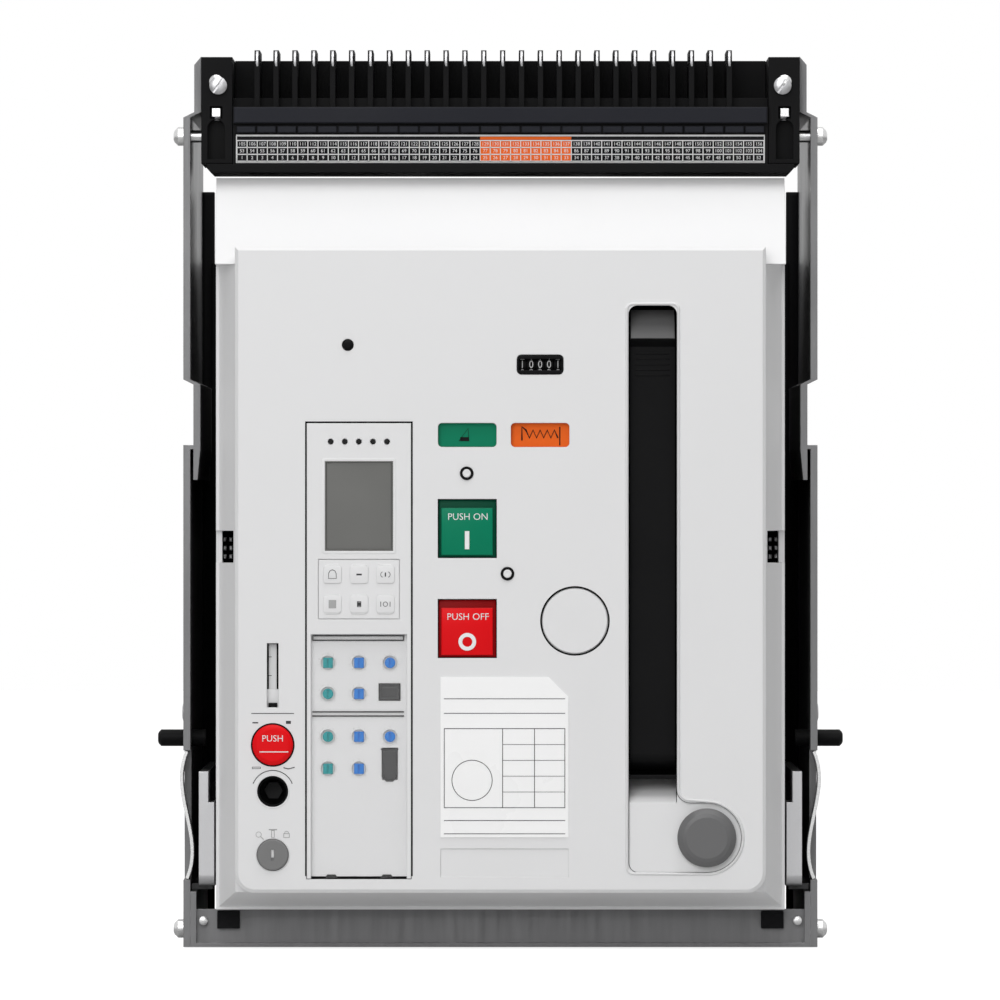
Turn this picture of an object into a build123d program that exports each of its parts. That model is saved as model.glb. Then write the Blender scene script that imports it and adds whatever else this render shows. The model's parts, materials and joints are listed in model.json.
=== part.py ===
from build123d import *
import os
from math import cos, radians, sin

os.makedirs("parts", exist_ok=True)

# Clearances
running_gap = 0.3
sliding_gap = 0.5
finger_gap = 0.8

# Depth, piece by piece, from the back of the cradle to its front edge
back_depth = 24.0
jaw_clearance = 16.0
jaw_pocket_depth = 48.0
jaw_wall = 10.0
chamber_depth = 74.0
bay_back_wall = 36.0
bay_depth = 38.0
plate_reach = 20.0
cover_depth = 58.0
panel_depth = 14.0
mount_front_margin = 38.0
mount_rear_margin = 28.0
cradle_depth = (
    back_depth
    + jaw_clearance
    + jaw_pocket_depth
    + jaw_wall
    + chamber_depth
    + bay_back_wall
    + bay_depth
    + plate_reach
)
mount_spacing_y = cradle_depth - mount_front_margin - mount_rear_margin
cradle_rear = mount_spacing_y / 2 + mount_rear_margin
cradle_front = cradle_rear - cradle_depth
back_front = cradle_rear - back_depth
base_rear = back_front - jaw_clearance
jaw_pocket_front = base_rear - jaw_pocket_depth
chamber_back = jaw_pocket_front - jaw_wall
chamber_front = chamber_back - chamber_depth
bay_back = chamber_front - bay_back_wall
cover_back = bay_back - bay_depth
cover_front = cover_back - cover_depth
panel_front = cover_front - panel_depth

# Width of the face and of what stands beside it, outwards from the buttons
button_column = -16.0
trip_gap = 27.2
trip_width = 50.3
left_column_gap = 16.5
panel_edge = 18.3
cover_margin = 9.9
rail_clearance = 0.9
rail_width = 7.5
rail_side_gap = 4.5
plate_thickness = 3.4
trip_right = button_column - trip_gap
trip_left = trip_right - trip_width
trip_middle = (trip_left + trip_right) / 2
left_column = trip_left - left_column_gap
panel_half_width = panel_edge - left_column
cover_half_width = panel_half_width + cover_margin
rail_inner = cover_half_width + rail_clearance
rail_outer = rail_inner + rail_width
plate_inner = rail_outer + rail_side_gap
plate_outer = plate_inner + plate_thickness

# Heights from the pan up to the fins
pan_thickness = 2.0
beam_height = 16.4
cover_lift = 0.4
cover_lower_margin = 9.2
foot_margin = 9.6
foot_hub_radius = 17.0
foot_rise = 13.3
handle_slot_length = 226.9
panel_upper_margin = 28.2
slope_rise = 34.4
block_clearance = 2.8
cover_bottom = pan_thickness + beam_height + cover_lift
panel_bottom = cover_bottom + cover_lower_margin
hub_height = panel_bottom + foot_margin + foot_hub_radius
foot_top = hub_height + foot_hub_radius
handle_slot_bottom = foot_top + foot_rise
handle_slot_top = handle_slot_bottom + handle_slot_length
panel_top = handle_slot_top + panel_upper_margin
cover_top = panel_top + slope_rise
block_bottom = cover_top + block_clearance

# Secondary terminal block
lip_height = 4.0
strip_lift = 4.2
strip_height = 14.4
tooth_lift = 0.4
tooth_height = 3.2
band_lift = 1.4
band_height = 8.2
comb_height = 24.2
comb_step_height = 4.4
fin_rise = 3.4
plate_rise = 0.6
strip_bottom = block_bottom + strip_lift
strip_top = strip_bottom + strip_height
tooth_row_bottom = strip_top + tooth_lift
tooth_row_top = tooth_row_bottom + tooth_height
band_bottom = tooth_row_top + band_lift
comb_floor = band_bottom + band_height
comb_step = comb_floor + comb_step_height
block_top = comb_floor + comb_height
fin_top = block_top + fin_rise
cradle_height = block_top + plate_rise
block_setback = 12.0
block_depth = 84.0
fin_depth = 54.0
block_front = cradle_front - block_setback
block_rear = block_front + block_depth
comb_back = block_front + fin_depth
end_block_width = 21.0
block_half_width = plate_inner - end_block_width
comb_lip = 6.0
fin_count = 26
fin_margin = 30.55
fin_pitch = (2 * block_half_width - fin_margin) / (fin_count - 1)
fin_thickness = 2.6
fin_slope = 3.0
fin_shift = -3.5
clip_width = 1.8
clip_depth = 12.0
clip_height = 2.8
clip_shift = -4.0
band_proud = 3.0
strip_recess = 2.0
strip_thickness = 1.6
strip_edge = 1.2
strip_half_width = block_half_width - strip_edge
tooth_count = 27
tooth_pitch = 2 * strip_half_width / tooth_count
tooth_gap = 3.0
tooth_proud = 1.5
lip_inset = 8.3
lip_half_width = plate_inner - lip_inset
lip_proud = 2.0
end_hardware_inset = 8.1
end_hardware_place = block_half_width + end_hardware_inset
end_pin_size = 4.0
end_pin_proud = 1.0
end_pin_drop = 27.0
end_pin_level = block_top - end_pin_drop
end_socket_gap = 1.0
end_screw_radius = 3.4
end_screw_height = 2.6
end_screw_dome = 1.8
end_screw_drop = 12.0
end_screw_level = block_top - end_screw_drop
end_window_width = 8.4
end_window_height = 7.6
end_window_depth = 6.0
end_window_lift = 10.0
end_window_level = block_bottom + end_window_lift
end_arch_level = end_window_level + end_window_height
end_bore_depth = 5.6

# Side plates: joggle, pocket with its tongue, and the rails' ledge
top_joggle = 5.3
joggle_slope = 2.6
top_joggle_drop = 27.0
top_joggle_height = cradle_height - top_joggle_drop
top_slope = 4.0
pocket_bottom = 242.6
pocket_height = 31.5
pocket_joggle = 4.9
pocket_ceiling = pocket_bottom + pocket_height
tongue_length = 15.0
tongue_thickness = 2.0
tab_thickness = 2.0
ledge_height = 27.0
ledge_thickness = 3.0
ledge_width = 10.0
ledge_setback = 36.0
flange_thickness = 2.9

# Extension rails, standing on the ledges
rail_lower_height = 40.5
rail_neck_height = 15.0
rail_neck = 4.6
rail_reach = 14.0
rail_rear_gap = 4.0
rail_nose = 5.0
rail_bottom = ledge_height + ledge_thickness + running_gap
rail_shoulder = rail_bottom + rail_lower_height
rail_crest = rail_shoulder + rail_neck_height
rail_front = cradle_front - rail_reach
rail_rear = base_rear - rail_rear_gap

# Base pan
beam_thickness = 3.0
beam_setback = 4.0
mount_side_margin = 31.1
mount_spacing_x = 2 * (plate_inner - mount_side_margin)
mount_hole_radius = 5.5
rib_width = 10.0
rib_height = 3.0

# Release pins, catch springs and bolts at the sides
pin_radius = 4.1
pin_lift = 15.7
pin_height = rail_crest + pin_lift
pin_setback = 26.0
pin_reach = 13.0
pin_engagement = 7.0
pin_inner_end = plate_inner - pin_engagement
pin_round = 1.6
spring_lift = 2.8
spring_drop = 5.7
spring_bottom = ledge_height + ledge_thickness + spring_lift
spring_crest = pin_height - spring_drop
spring_bulge = 2.6
spring_thickness = 1.6
spring_depth = 24.0
spring_bend = 12.0
bolt_head_radius = 4.6
bolt_head_height = 5.0
bolt_dome = 2.2
bolt_shank_radius = 3.0
bolt_shank_length = 14.0
bolt_setback = 12.0
lower_bolt_height = 8.7
upper_bolt_lift = 18.1
bolt_heights = (lower_bolt_height, block_bottom + upper_bolt_lift)

# Moulded base with its lugs and compartments
base_side_gap = 4.1
base_lift = 2.5
base_half_width = rail_inner - base_side_gap
base_bottom = pan_thickness + beam_height + base_lift
base_corner = 3.0
pole_pitch = 2 * base_half_width / 3
pole_places = (-pole_pitch, 0.0, pole_pitch)
lower_terminal_lift = 107.0
terminal_rise = 120.0
base_over_terminal = 53.0
lower_terminal = base_bottom + lower_terminal_lift
upper_terminal = lower_terminal + terminal_rise
terminal_heights = (lower_terminal, upper_terminal)
base_top = upper_terminal + base_over_terminal
bay_wall = 9.0
bay_floor = 12.0
bay_half_width = base_half_width - bay_wall
bay_bottom = base_bottom + bay_floor
bay_top = base_top - bay_floor
pole_wall = 12.0
chamber_drop = 25.0
chamber_width = pole_pitch - pole_wall
chamber_bottom = lower_terminal - chamber_drop
plug_side_gap = 15.0
plug_drop = 5.5
plug_setback = 4.0
plug_depth = 54.0
plug_half_width = base_half_width - plug_side_gap
plug_top = cover_top - plug_drop
plug_front = cover_back + plug_setback
lug_height = 8.0
lug_length = 30.0
lug_reach = rail_outer - rail_neck - running_gap - base_half_width
lug_front_inset = 32.0
lug_rear_inset = 28.0
lug_places = (cover_back + lug_front_inset, base_rear - lug_rear_inset)

# Main terminals and the insulating back of the cradle
terminal_side_gap = 9.0
terminal_width = chamber_width - 2 * terminal_side_gap
terminal_thickness = 15.0
terminal_reach = 36.0
terminal_tail = 62.0
terminal_front = back_front - terminal_reach
terminal_rear = cradle_rear + terminal_tail
terminal_hole_radius = 5.5
terminal_hole_spacing = 28.0
terminal_hole_setback = 24.0
terminal_corner = 5.0
terminal_taper = 3.0
back_wall = 10.0
back_over_base = 37.0
back_top = base_top + back_over_base
back_frame = 9.0
barrier_thickness = 8.0
barrier_reach = 26.0
barrier_margin = 55.0
collar_wall = 8.0

# Current path inside the base
jaw_pocket_margin = 4.0
jaw_pocket_width = terminal_width + 2 * jaw_pocket_margin
jaw_pocket_height = 38.0
finger_count = 5
finger_pitch = terminal_width / finger_count
finger_spacing = 3.0
finger_width = finger_pitch - finger_spacing
finger_height = 5.0
finger_front_gap = 6.0
finger_rear_gap = 8.0
finger_front = jaw_pocket_front + finger_front_gap
finger_rear = back_front - finger_rear_gap
finger_length = finger_rear - finger_front
finger_middle = (finger_front + finger_rear) / 2
conductor_gap = 4.0
conductor_rear = terminal_front - conductor_gap
fixed_contact_depth = 18.0
fixed_contact_front = chamber_back - fixed_contact_depth
lower_conductor_setback = 28.0
lower_conductor_front = chamber_front + lower_conductor_setback
pad_thickness = 4.0
pad_height = 14.0
pad_width = 44.0
contact_setback = 34.0
contact_lift = 25.0
contact_pivot_y = chamber_front + contact_setback
contact_pivot_z = lower_terminal + contact_lift
contact_hub_radius = 9.0
contact_pin_radius = 4.0
contact_arm_width = 40.0
contact_arm_thickness = 14.0
contact_open_angle = 12.0
contact_gap = 0.4
transformer_side_gap = 2.0
transformer_height = 40.0
transformer_depth = 20.0
transformer_setback = 4.0
transformer_back = chamber_back - transformer_setback

# Arc chutes
chute_side_gap = 2.0
chute_front_gap = 6.0
chute_back_gap = 2.0
chute_over_terminal = 17.0
chute_drop = 5.5
chute_flange = 3.0
chute_flange_height = 4.0
chute_wall = 5.0
splitter_count = 8
splitter_gap = 3.2
splitter_margin = 12.8
chute_width = chamber_width - 2 * chute_side_gap
chute_bottom = upper_terminal + chute_over_terminal
chute_top = cover_top - chute_drop
chute_front = chamber_front + chute_front_gap
chute_back = chamber_back - chute_back_gap
splitter_pitch = (chute_back - chute_front - splitter_margin) / (splitter_count - 1)

# Handle, its channel and the white foot
handle_inset = 66.4
handle_slot_width = 23.4
handle_slot_corner = 4.3
handle_left = panel_half_width - handle_inset
handle_right = handle_left + handle_slot_width
channel_wall = 2.0
channel_depth = 31.0
handle_hub_radius = 8.0
handle_hub_lift = 2.0
handle_setback = 14.0
handle_pivot_y = panel_front + handle_setback
handle_pivot_z = handle_slot_bottom + handle_hub_radius + handle_hub_lift
handle_pin_radius = 3.0
handle_tip_gap = 1.3
handle_tip = handle_slot_top - handle_tip_gap
grip_length = 18.6
grip_slope = 15.1
grip_proud = 4.5
hub_gap = 14.4
foot_hub_place = (handle_right + hub_gap, hub_height)
foot_corner = 4.8
foot_inner_corner = 6.3
foot_depth = 2.0
foot_thickness = 4.0
foot_slope_depth = 17.0
slope_top = handle_slot_bottom - channel_wall - running_gap
cap_radius = 14.2
cap_height = 6.0
cap_dome = 3.2

# Outer cover and front panel
panel_thickness = 3.0
panel_corner = 9.7
panel_chamfer = 1.6
panel_lip = 6.0
cover_wall = 3.0
cover_shoulder = 8.0
cover_flange = 1.6
margin_depth = 22.0
slope_start = panel_top - cover_shoulder
cover_slope_setback = 4.0
cover_slope_back = block_front + cover_slope_setback
notch_lift = 168.6
notch_height = 15.5
notch_inset = 1.0
notch_depth = margin_depth + cover_wall
notch_bottom = cover_bottom + notch_lift
panel_back = panel_front + panel_thickness

# Buttons, windows and plates of the middle column
off_button_lift = 127.7
button_rise = 48.3
flag_rise = 45.2
counter_rise = 34.0
second_column_gap = 35.2
button_frame = 28.5
button_face = (25.6, 23.7)
button_recess = 2.4
button_sink = 0.4
button_skirt = 5.0
button_bevel = 0.8
button_stem_radius = 4.0
button_stem_length = 23.0
face_drop = 1.2
off_button_place = (button_column, panel_bottom + off_button_lift)
on_button_place = (button_column, off_button_place[1] + button_rise)
on_off_flag_place = (button_column, on_button_place[1] + flag_rise)
spring_flag_place = (button_column + second_column_gap, on_off_flag_place[1])
counter_place = (spring_flag_place[0], spring_flag_place[1] + counter_rise)
button_back = panel_back + button_stem_length
flag_window = (28.3, 11.6)
flag_corner = 2.0
flag_travel = 12.5
flag_thickness = 1.0
flag_margin = 1.4
counter_window = (22.7, 9.7)
counter_corner = 2.4
drum_count = 5
drum_radius = 6.4
drum_width = 3.9
drum_pitch = 4.3
drum_shaft_radius = 1.2
ear_thickness = 1.6
ear_place = drum_count * drum_pitch / 2 + running_gap
stud_rise = 26.6
stud_shift = 19.4
stud_radius = 3.1
stud_proud = 0.4
stud_places = (
    (button_column, on_button_place[1] + stud_rise),
    (button_column + stud_shift, off_button_place[1] + stud_rise),
)
lock_ring_shift = 52.0
lock_ring_rise = 3.7
lock_ring_place = (button_column + lock_ring_shift, off_button_place[1] + lock_ring_rise)
lock_ring_radius = 16.4
lock_ring_width = 0.8
lock_ring_depth = 0.6
label_shift = 12.9
label_width = 61.8
label_height = 77.5
label_drop = 23.4
label_corner = 9.6
label_proud = 0.6
label_left = button_column - label_shift
label_right = label_left + label_width
label_top = off_button_place[1] - label_drop
label_bottom = label_top - label_height
blank_drop = 5.5
blank_height = 13.6
blank_top = label_bottom - blank_drop
blank_depth = 0.5

# Position slot, release button, racking hole and key lock of the left column
lock_lift = 18.4
crank_rise = 30.6
release_rise = 22.5
pointer_rise = 33.6
lock_place = (left_column, panel_bottom + lock_lift)
crank_hole_place = (left_column, lock_place[1] + crank_rise)
release_place = (left_column, crank_hole_place[1] + release_rise)
pointer_place = (left_column, release_place[1] + pointer_rise)
lock_radius = 7.6
lock_barrel_radius = 5.5
lock_proud = 1.6
lock_bevel = 0.6
key_slot = (1.5, 5.2)
crank_hole_radius = 7.5
spindle_radius = 5.5
spindle_hex = 4.6
spindle_hex_length = 16.0
spindle_collar_radius = 9.0
spindle_collar_width = 5.0
spindle_setback = 22.0
spindle_front = panel_front + spindle_setback
release_radius = 9.8
release_proud = 2.0
release_dome = 1.6
pointer_slot = (5.6, 31.0)
pointer_tip = 4.4
reset_shift = 19.8
reset_drop = 47.3
reset_place = (trip_left + reset_shift, panel_top - reset_drop)
reset_radius = 2.6
reset_proud = 1.2
reset_dome = 1.0

# Trip unit with its screen, keys, dials and clear cover
trip_lift = 6.9
trip_height = 220.0
lower_bay_height = 120.0
trip_setback = 17.0
trip_proud = 0.2
trip_bottom = panel_bottom + trip_lift
trip_top = trip_bottom + trip_height
trip_back = cover_back - trip_setback
split_height = trip_bottom + lower_bay_height
cover_recess = 4.0
clear_cover_thickness = 2.4
cover_rim = 2.0
cover_border = 5.0
clear_pane = 1.2
hinge_radius = 1.4
hinge_length = 6.0
hinge_spread = 13.2
hinge_places = (trip_middle - hinge_spread, trip_middle + hinge_spread)
screen_lift = 37.3
screen_height = 45.4
screen_width = 35.0
screen_recess = 3.0
screen_rim = 1.6
screen_left = trip_middle - screen_width / 2
screen_right = trip_middle + screen_width / 2
screen_bottom = split_height + screen_lift
screen_top = screen_bottom + screen_height
lens_count = 5
lens_pitch = 6.8
lens_drop = 8.9
lens_height = trip_top - lens_drop
lens_row = lens_pitch * (lens_count - 1)
lens_places = [trip_middle - lens_row / 2 + lens_pitch * number for number in range(lens_count)]
lens_radius = 1.1
lens_depth = 3.0
lens_proud = 0.4
key_spread = 12.8
key_lift = 19.8
key_pitch = 14.7
key_columns = (trip_middle - key_spread, trip_middle, trip_middle + key_spread)
key_rows = (split_height + key_lift - key_pitch / 2, split_height + key_lift + key_pitch / 2)
key_width = 7.8
key_height = 9.4
key_corner = 1.2
key_proud = 0.5
keypad_width = 39.4
keypad_height = 29.0
keypad_left = trip_middle - keypad_width / 2
keypad_right = trip_middle + keypad_width / 2
keypad_bottom = split_height + key_lift - keypad_height / 2
keypad_top = keypad_bottom + keypad_height
keypad_thickness = 0.8
dial_spread = 15.0
dial_row_drops = (15.8, 30.8, 51.5, 67.0)
dial_short_rows = (1, 3)
dial_columns = (trip_middle - dial_spread, trip_middle, trip_middle + dial_spread)
dial_rows = [split_height - drop for drop in dial_row_drops]
dial_radius = 3.4
dial_depth = 4.0
dial_slot = 0.9
dial_sink = 0.4
socket_drop = 30.0
socket_place = (dial_columns[-1], split_height - socket_drop)
socket_size = (9.7, 7.5)
port_drop = 64.6
port_place = (dial_columns[-1], split_height - port_drop)
port_size = (7.5, 15.5)

# Drive in the front bay
frame_plate_gap = 4.2
frame_plate_clearance = 9.9
frame_plate_thickness = 3.0
frame_plate_setback = 18.0
frame_plate_lift = 30.0
frame_plate_drop = 6.0
frame_plate_corner = 8.0
frame_plate_places = (
    trip_right + frame_plate_gap,
    handle_left - channel_wall - frame_plate_clearance,
)
frame_plate_middle = sum(frame_plate_places) / 2
frame_plate_front = cover_front + frame_plate_setback
frame_plate_bottom = bay_bottom + frame_plate_lift
frame_plate_top = bay_top - frame_plate_drop
main_shaft_radius = 9.0
main_shaft_setback = 18.0
main_shaft_lift = 20.0
main_shaft_y = bay_back - main_shaft_setback
main_shaft_z = contact_pivot_z + main_shaft_lift
crank_radius = 17.0
crank_thickness = 10.0
crank_shift = 6.0
cam_shaft_radius = 7.0
cam_shaft_reach = 34.0
cam_shaft_drop = 52.0
cam_shaft_y = main_shaft_y - cam_shaft_reach
cam_shaft_z = main_shaft_z - cam_shaft_drop
cam_radius = 18.0
cam_lift = 5.0
cam_width = 14.0
cam_end = 3.0
ratchet_radius = 15.0
ratchet_teeth = 12
ratchet_width = 4.0
ratchet_notch = 3.0
motor_radius = 19.0
motor_length = 62.0
motor_corner = 6.0
motor_reach = 42.0
motor_drop = 44.0
motor_y = bay_back - motor_reach
motor_z = frame_plate_top - motor_drop
gearbox_length = 16.0
coil_radius = 11.0
coil_length = 32.0
coil_reach = 46.0
coil_drop = 24.0
coil_y = bay_back - coil_reach
coil_z = frame_plate_top - coil_drop


def facing(depth):
    """The upright plane at a depth, seen from the front."""
    return Plane.XZ.offset(-depth)


def side_on(place):
    """The upright plane across the width, seen from the right."""
    return Plane.YZ.offset(place)


def dome(piece, outward, rise):
    """Rounds the outermost rims of a piece in two conical steps."""
    for length in (rise, rise / 3):
        chamfer(piece.faces().group_by(outward)[0].edges(), length)


def rectangle(left, right, bottom, top, mode=Mode.ADD):
    """Draws a rectangle between two corners in the open sketch."""
    with Locations(((left + right) / 2, (bottom + top) / 2)):
        Rectangle(right - left, top - bottom, mode=mode)


# Side plate, seen from the front: joggled in at the top and round the pocket
strip_inner = plate_inner - pocket_joggle
with BuildPart() as side_plate_right:
    with BuildSketch(facing(cradle_rear)):
        with BuildLine():
            Polyline(
                (plate_outer - top_joggle - plate_thickness, cradle_height),
                (plate_outer - top_joggle, cradle_height - top_slope),
                (plate_outer - top_joggle, top_joggle_height),
                (plate_outer, top_joggle_height - joggle_slope),
                (plate_outer, pocket_ceiling + pocket_joggle / 2),
                (plate_outer - pocket_joggle, pocket_ceiling),
                (plate_outer - pocket_joggle, pocket_bottom),
                (plate_outer - pocket_joggle, pocket_bottom - tongue_length),
                (strip_inner + plate_thickness - tongue_thickness, pocket_bottom - tongue_length),
                (strip_inner, pocket_bottom),
                (strip_inner, pocket_ceiling),
                (plate_inner, pocket_ceiling + pocket_joggle / 2),
                (plate_inner, top_joggle_height - joggle_slope),
                (plate_inner - top_joggle, top_joggle_height),
                close=True,
            )
        make_face()
        rectangle(plate_inner, plate_outer, 0, pocket_bottom + tab_thickness)
        rectangle(strip_inner, plate_outer, pocket_bottom, pocket_bottom + tab_thickness)
    extrude(amount=cradle_depth)
    # ledge that carries the extension rail
    with BuildSketch(facing(cradle_rear)):
        rectangle(plate_inner - ledge_width, plate_inner, ledge_height, ledge_height + ledge_thickness)
    extrude(amount=cradle_depth - ledge_setback)
    # gap in the front edge that holds the catch spring
    with BuildSketch(side_on(plate_inner)):
        rectangle(cradle_front, cradle_front + spring_depth, spring_bottom, spring_crest)
    extrude(amount=plate_thickness, mode=Mode.SUBTRACT)
    # bores of the bolts and of the release pin
    for height in bolt_heights:
        with BuildSketch(side_on(plate_inner - top_joggle)):
            with Locations((cradle_front + bolt_setback, height)):
                Circle(bolt_shank_radius + running_gap)
        extrude(amount=plate_thickness + top_joggle, mode=Mode.SUBTRACT)
    with BuildSketch(side_on(plate_inner)):
        with Locations((cradle_front + pin_setback, pin_height)):
            Circle(pin_radius + running_gap)
    extrude(amount=plate_thickness, mode=Mode.SUBTRACT)
side_plate_right.part.label = "side_plate_right"
export_step(side_plate_right.part, "parts/side_plate_right.step")

with BuildPart() as side_plate_left:
    mirror(side_plate_right.part, about=Plane.YZ)
side_plate_left.part.label = "side_plate_left"
export_step(side_plate_left.part, "parts/side_plate_left.step")

# Base pan: floor, upturned flanges, front beam and stiffening ribs
with BuildPart() as base_pan:
    with BuildSketch(facing(cradle_rear)):
        rectangle(-plate_inner, plate_inner, 0, ledge_height)
        rectangle(
            flange_thickness - plate_inner,
            plate_inner - flange_thickness,
            pan_thickness,
            ledge_height,
            mode=Mode.SUBTRACT,
        )
    extrude(amount=cradle_depth)
    with BuildSketch(facing(cradle_front + beam_setback)):
        beam_half_width = plate_inner - flange_thickness
        rectangle(-beam_half_width, beam_half_width, 0, pan_thickness + beam_height)
    extrude(amount=-beam_thickness)
    with BuildSketch(Plane.XY.offset(pan_thickness)):
        with GridLocations(pole_pitch, 0, 2, 1):
            SlotOverall(cradle_depth / 2, rib_width, rotation=90)
    extrude(amount=rib_height, taper=30)
    with BuildSketch(Plane.XY):
        with GridLocations(mount_spacing_x, mount_spacing_y, 2, 2):
            Circle(mount_hole_radius)
    extrude(amount=pan_thickness, mode=Mode.SUBTRACT)
    with BuildSketch(side_on(-plate_inner)):
        with Locations((cradle_front + bolt_setback, bolt_heights[0])):
            Circle(bolt_shank_radius + running_gap)
    extrude(amount=2 * plate_inner, mode=Mode.SUBTRACT)
base_pan.part.label = "base_pan"
export_step(base_pan.part, "parts/base_pan.step")

# Domed bolts that join the plates to the pan and to the terminal block
with BuildPart() as cradle_bolts:
    for height in bolt_heights:
        for side in (-1, 1):
            place = Plane(
                origin=(side * plate_outer, cradle_front + bolt_setback, height),
                x_dir=(0, 1, 0),
                z_dir=(side, 0, 0),
            )
            with BuildSketch(place):
                Circle(bolt_head_radius)
            extrude(amount=bolt_head_height)
            with BuildSketch(place):
                Circle(bolt_shank_radius)
            extrude(amount=-bolt_shank_length)
    dome(cradle_bolts, Axis.X, bolt_dome)
    dome(cradle_bolts, Axis.X.reverse(), bolt_dome)
cradle_bolts.part.label = "cradle_bolts"
export_step(cradle_bolts.part, "parts/cradle_bolts.step")

# Insulating back of the cradle with terminal collars and pole barriers
with BuildPart() as insulating_back:
    with BuildSketch(facing(cradle_rear)):
        rectangle(
            running_gap - strip_inner,
            strip_inner - running_gap,
            ledge_height + ledge_thickness + running_gap,
            back_top,
        )
        rectangle(
            ledge_width + running_gap - plate_inner,
            plate_inner - ledge_width - running_gap,
            pan_thickness + rib_height,
            back_top,
        )
    extrude(amount=cradle_rear - back_front)
    with BuildSketch(facing(back_front)):
        rectangle(
            ledge_width + back_frame - plate_inner,
            plate_inner - ledge_width - back_frame,
            ledge_height + back_frame,
            back_top - back_frame,
        )
    extrude(amount=back_wall + back_front - cradle_rear, mode=Mode.SUBTRACT)
    with BuildSketch(facing(cradle_rear)):
        for place in pole_places:
            for height in terminal_heights:
                with Locations((place, height)):
                    Rectangle(terminal_width + 2 * collar_wall, terminal_thickness + 2 * collar_wall)
    extrude(amount=cradle_rear - back_front)
    with BuildSketch(facing(cradle_rear)):
        for place in (-1.5 * pole_pitch, -0.5 * pole_pitch, 0.5 * pole_pitch, 1.5 * pole_pitch):
            rectangle(
                place - barrier_thickness / 2,
                place + barrier_thickness / 2,
                lower_terminal - barrier_margin,
                upper_terminal + barrier_margin,
            )
    extrude(amount=-barrier_reach)
    with BuildSketch(facing(cradle_rear)):
        for place in pole_places:
            for height in terminal_heights:
                with Locations((place, height)):
                    Rectangle(terminal_width + 2 * running_gap, terminal_thickness + 2 * running_gap)
    extrude(amount=cradle_depth, mode=Mode.SUBTRACT)
insulating_back.part.label = "insulating_back"
export_step(insulating_back.part, "parts/insulating_back.step")

# Six main terminals: flat bars with a tapered front end and four bolt holes
with BuildPart() as main_terminals:
    for place in pole_places:
        for height in terminal_heights:
            with BuildSketch(Plane.XY.offset(height - terminal_thickness / 2)):
                rectangle(
                    place - terminal_width / 2, place + terminal_width / 2, terminal_front, terminal_rear
                )
                with Locations((place, terminal_rear - terminal_hole_setback)):
                    with GridLocations(terminal_hole_spacing, terminal_hole_spacing, 2, 2):
                        Circle(terminal_hole_radius, mode=Mode.SUBTRACT)
            extrude(amount=terminal_thickness)
    corners = main_terminals.edges().filter_by(Axis.Z).group_by(Axis.Y)[-1]
    fillet(corners, terminal_corner)
    tips = main_terminals.edges().filter_by(Axis.X).group_by(Axis.Y)[0]
    chamfer(tips, terminal_taper)
main_terminals.part.label = "main_terminals"
export_step(main_terminals.part, "parts/main_terminals.step")

# Secondary terminal block: a body with upright fins, a band, teeth and a lip
fin_places = [(number - (fin_count - 1) / 2) * fin_pitch + fin_shift for number in range(fin_count)]
with BuildPart() as terminal_block:
    with BuildSketch(side_on(-block_half_width)):
        with BuildLine():
            Polyline(
                (block_rear, block_bottom),
                (block_front, block_bottom),
                (block_front, band_bottom),
                (block_front - band_proud, band_bottom),
                (block_front - band_proud, comb_floor),
                (block_front + comb_lip, comb_floor),
                (block_front + comb_lip, comb_step),
                (comb_back, comb_step),
                (comb_back, block_top),
                (block_rear, block_top),
                close=True,
            )
        make_face()
    extrude(amount=2 * block_half_width)
    for place in fin_places:
        with BuildSketch(side_on(place - fin_thickness / 2)):
            with BuildLine():
                Polyline(
                    (comb_back, comb_floor),
                    (block_front, comb_floor),
                    (block_front, fin_top - fin_slope),
                    (block_front + fin_slope, fin_top),
                    (comb_back, fin_top),
                    close=True,
                )
            make_face()
        extrude(amount=fin_thickness)
    with BuildSketch(facing(block_front)):
        with Locations((0, (tooth_row_bottom + tooth_row_top) / 2)):
            with GridLocations(tooth_pitch, 0, tooth_count, 1):
                Rectangle(tooth_pitch - tooth_gap, tooth_row_top - tooth_row_bottom)
    extrude(amount=tooth_proud)
    with BuildSketch(facing(block_front)):
        rectangle(-strip_half_width, strip_half_width, strip_bottom, strip_top)
    extrude(amount=-strip_recess, mode=Mode.SUBTRACT)
    # lip below the label strip, cut off at its lower corners
    with BuildSketch(facing(block_rear)):
        with BuildLine():
            Polyline(
                (-lip_half_width, block_bottom + lip_height),
                (-lip_half_width, block_bottom + lip_height / 2),
                (lip_height / 2 - lip_half_width, block_bottom),
                (lip_half_width - lip_height / 2, block_bottom),
                (lip_half_width, block_bottom + lip_height / 2),
                (lip_half_width, block_bottom + lip_height),
                close=True,
            )
        make_face()
    extrude(amount=block_rear - block_front + lip_proud)
terminal_block.part.label = "terminal_block"
export_step(terminal_block.part, "parts/terminal_block.step")

# Metal clips that stand on the block behind its fins
with BuildPart() as block_clips:
    with BuildSketch(Plane.XY.offset(block_top)):
        for place in fin_places:
            with Locations((place, (comb_back + block_rear) / 2 + clip_shift)):
                Rectangle(clip_width, clip_depth)
    extrude(amount=clip_height)
block_clips.part.label = "block_clips"
export_step(block_clips.part, "parts/block_clips.step")

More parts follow.
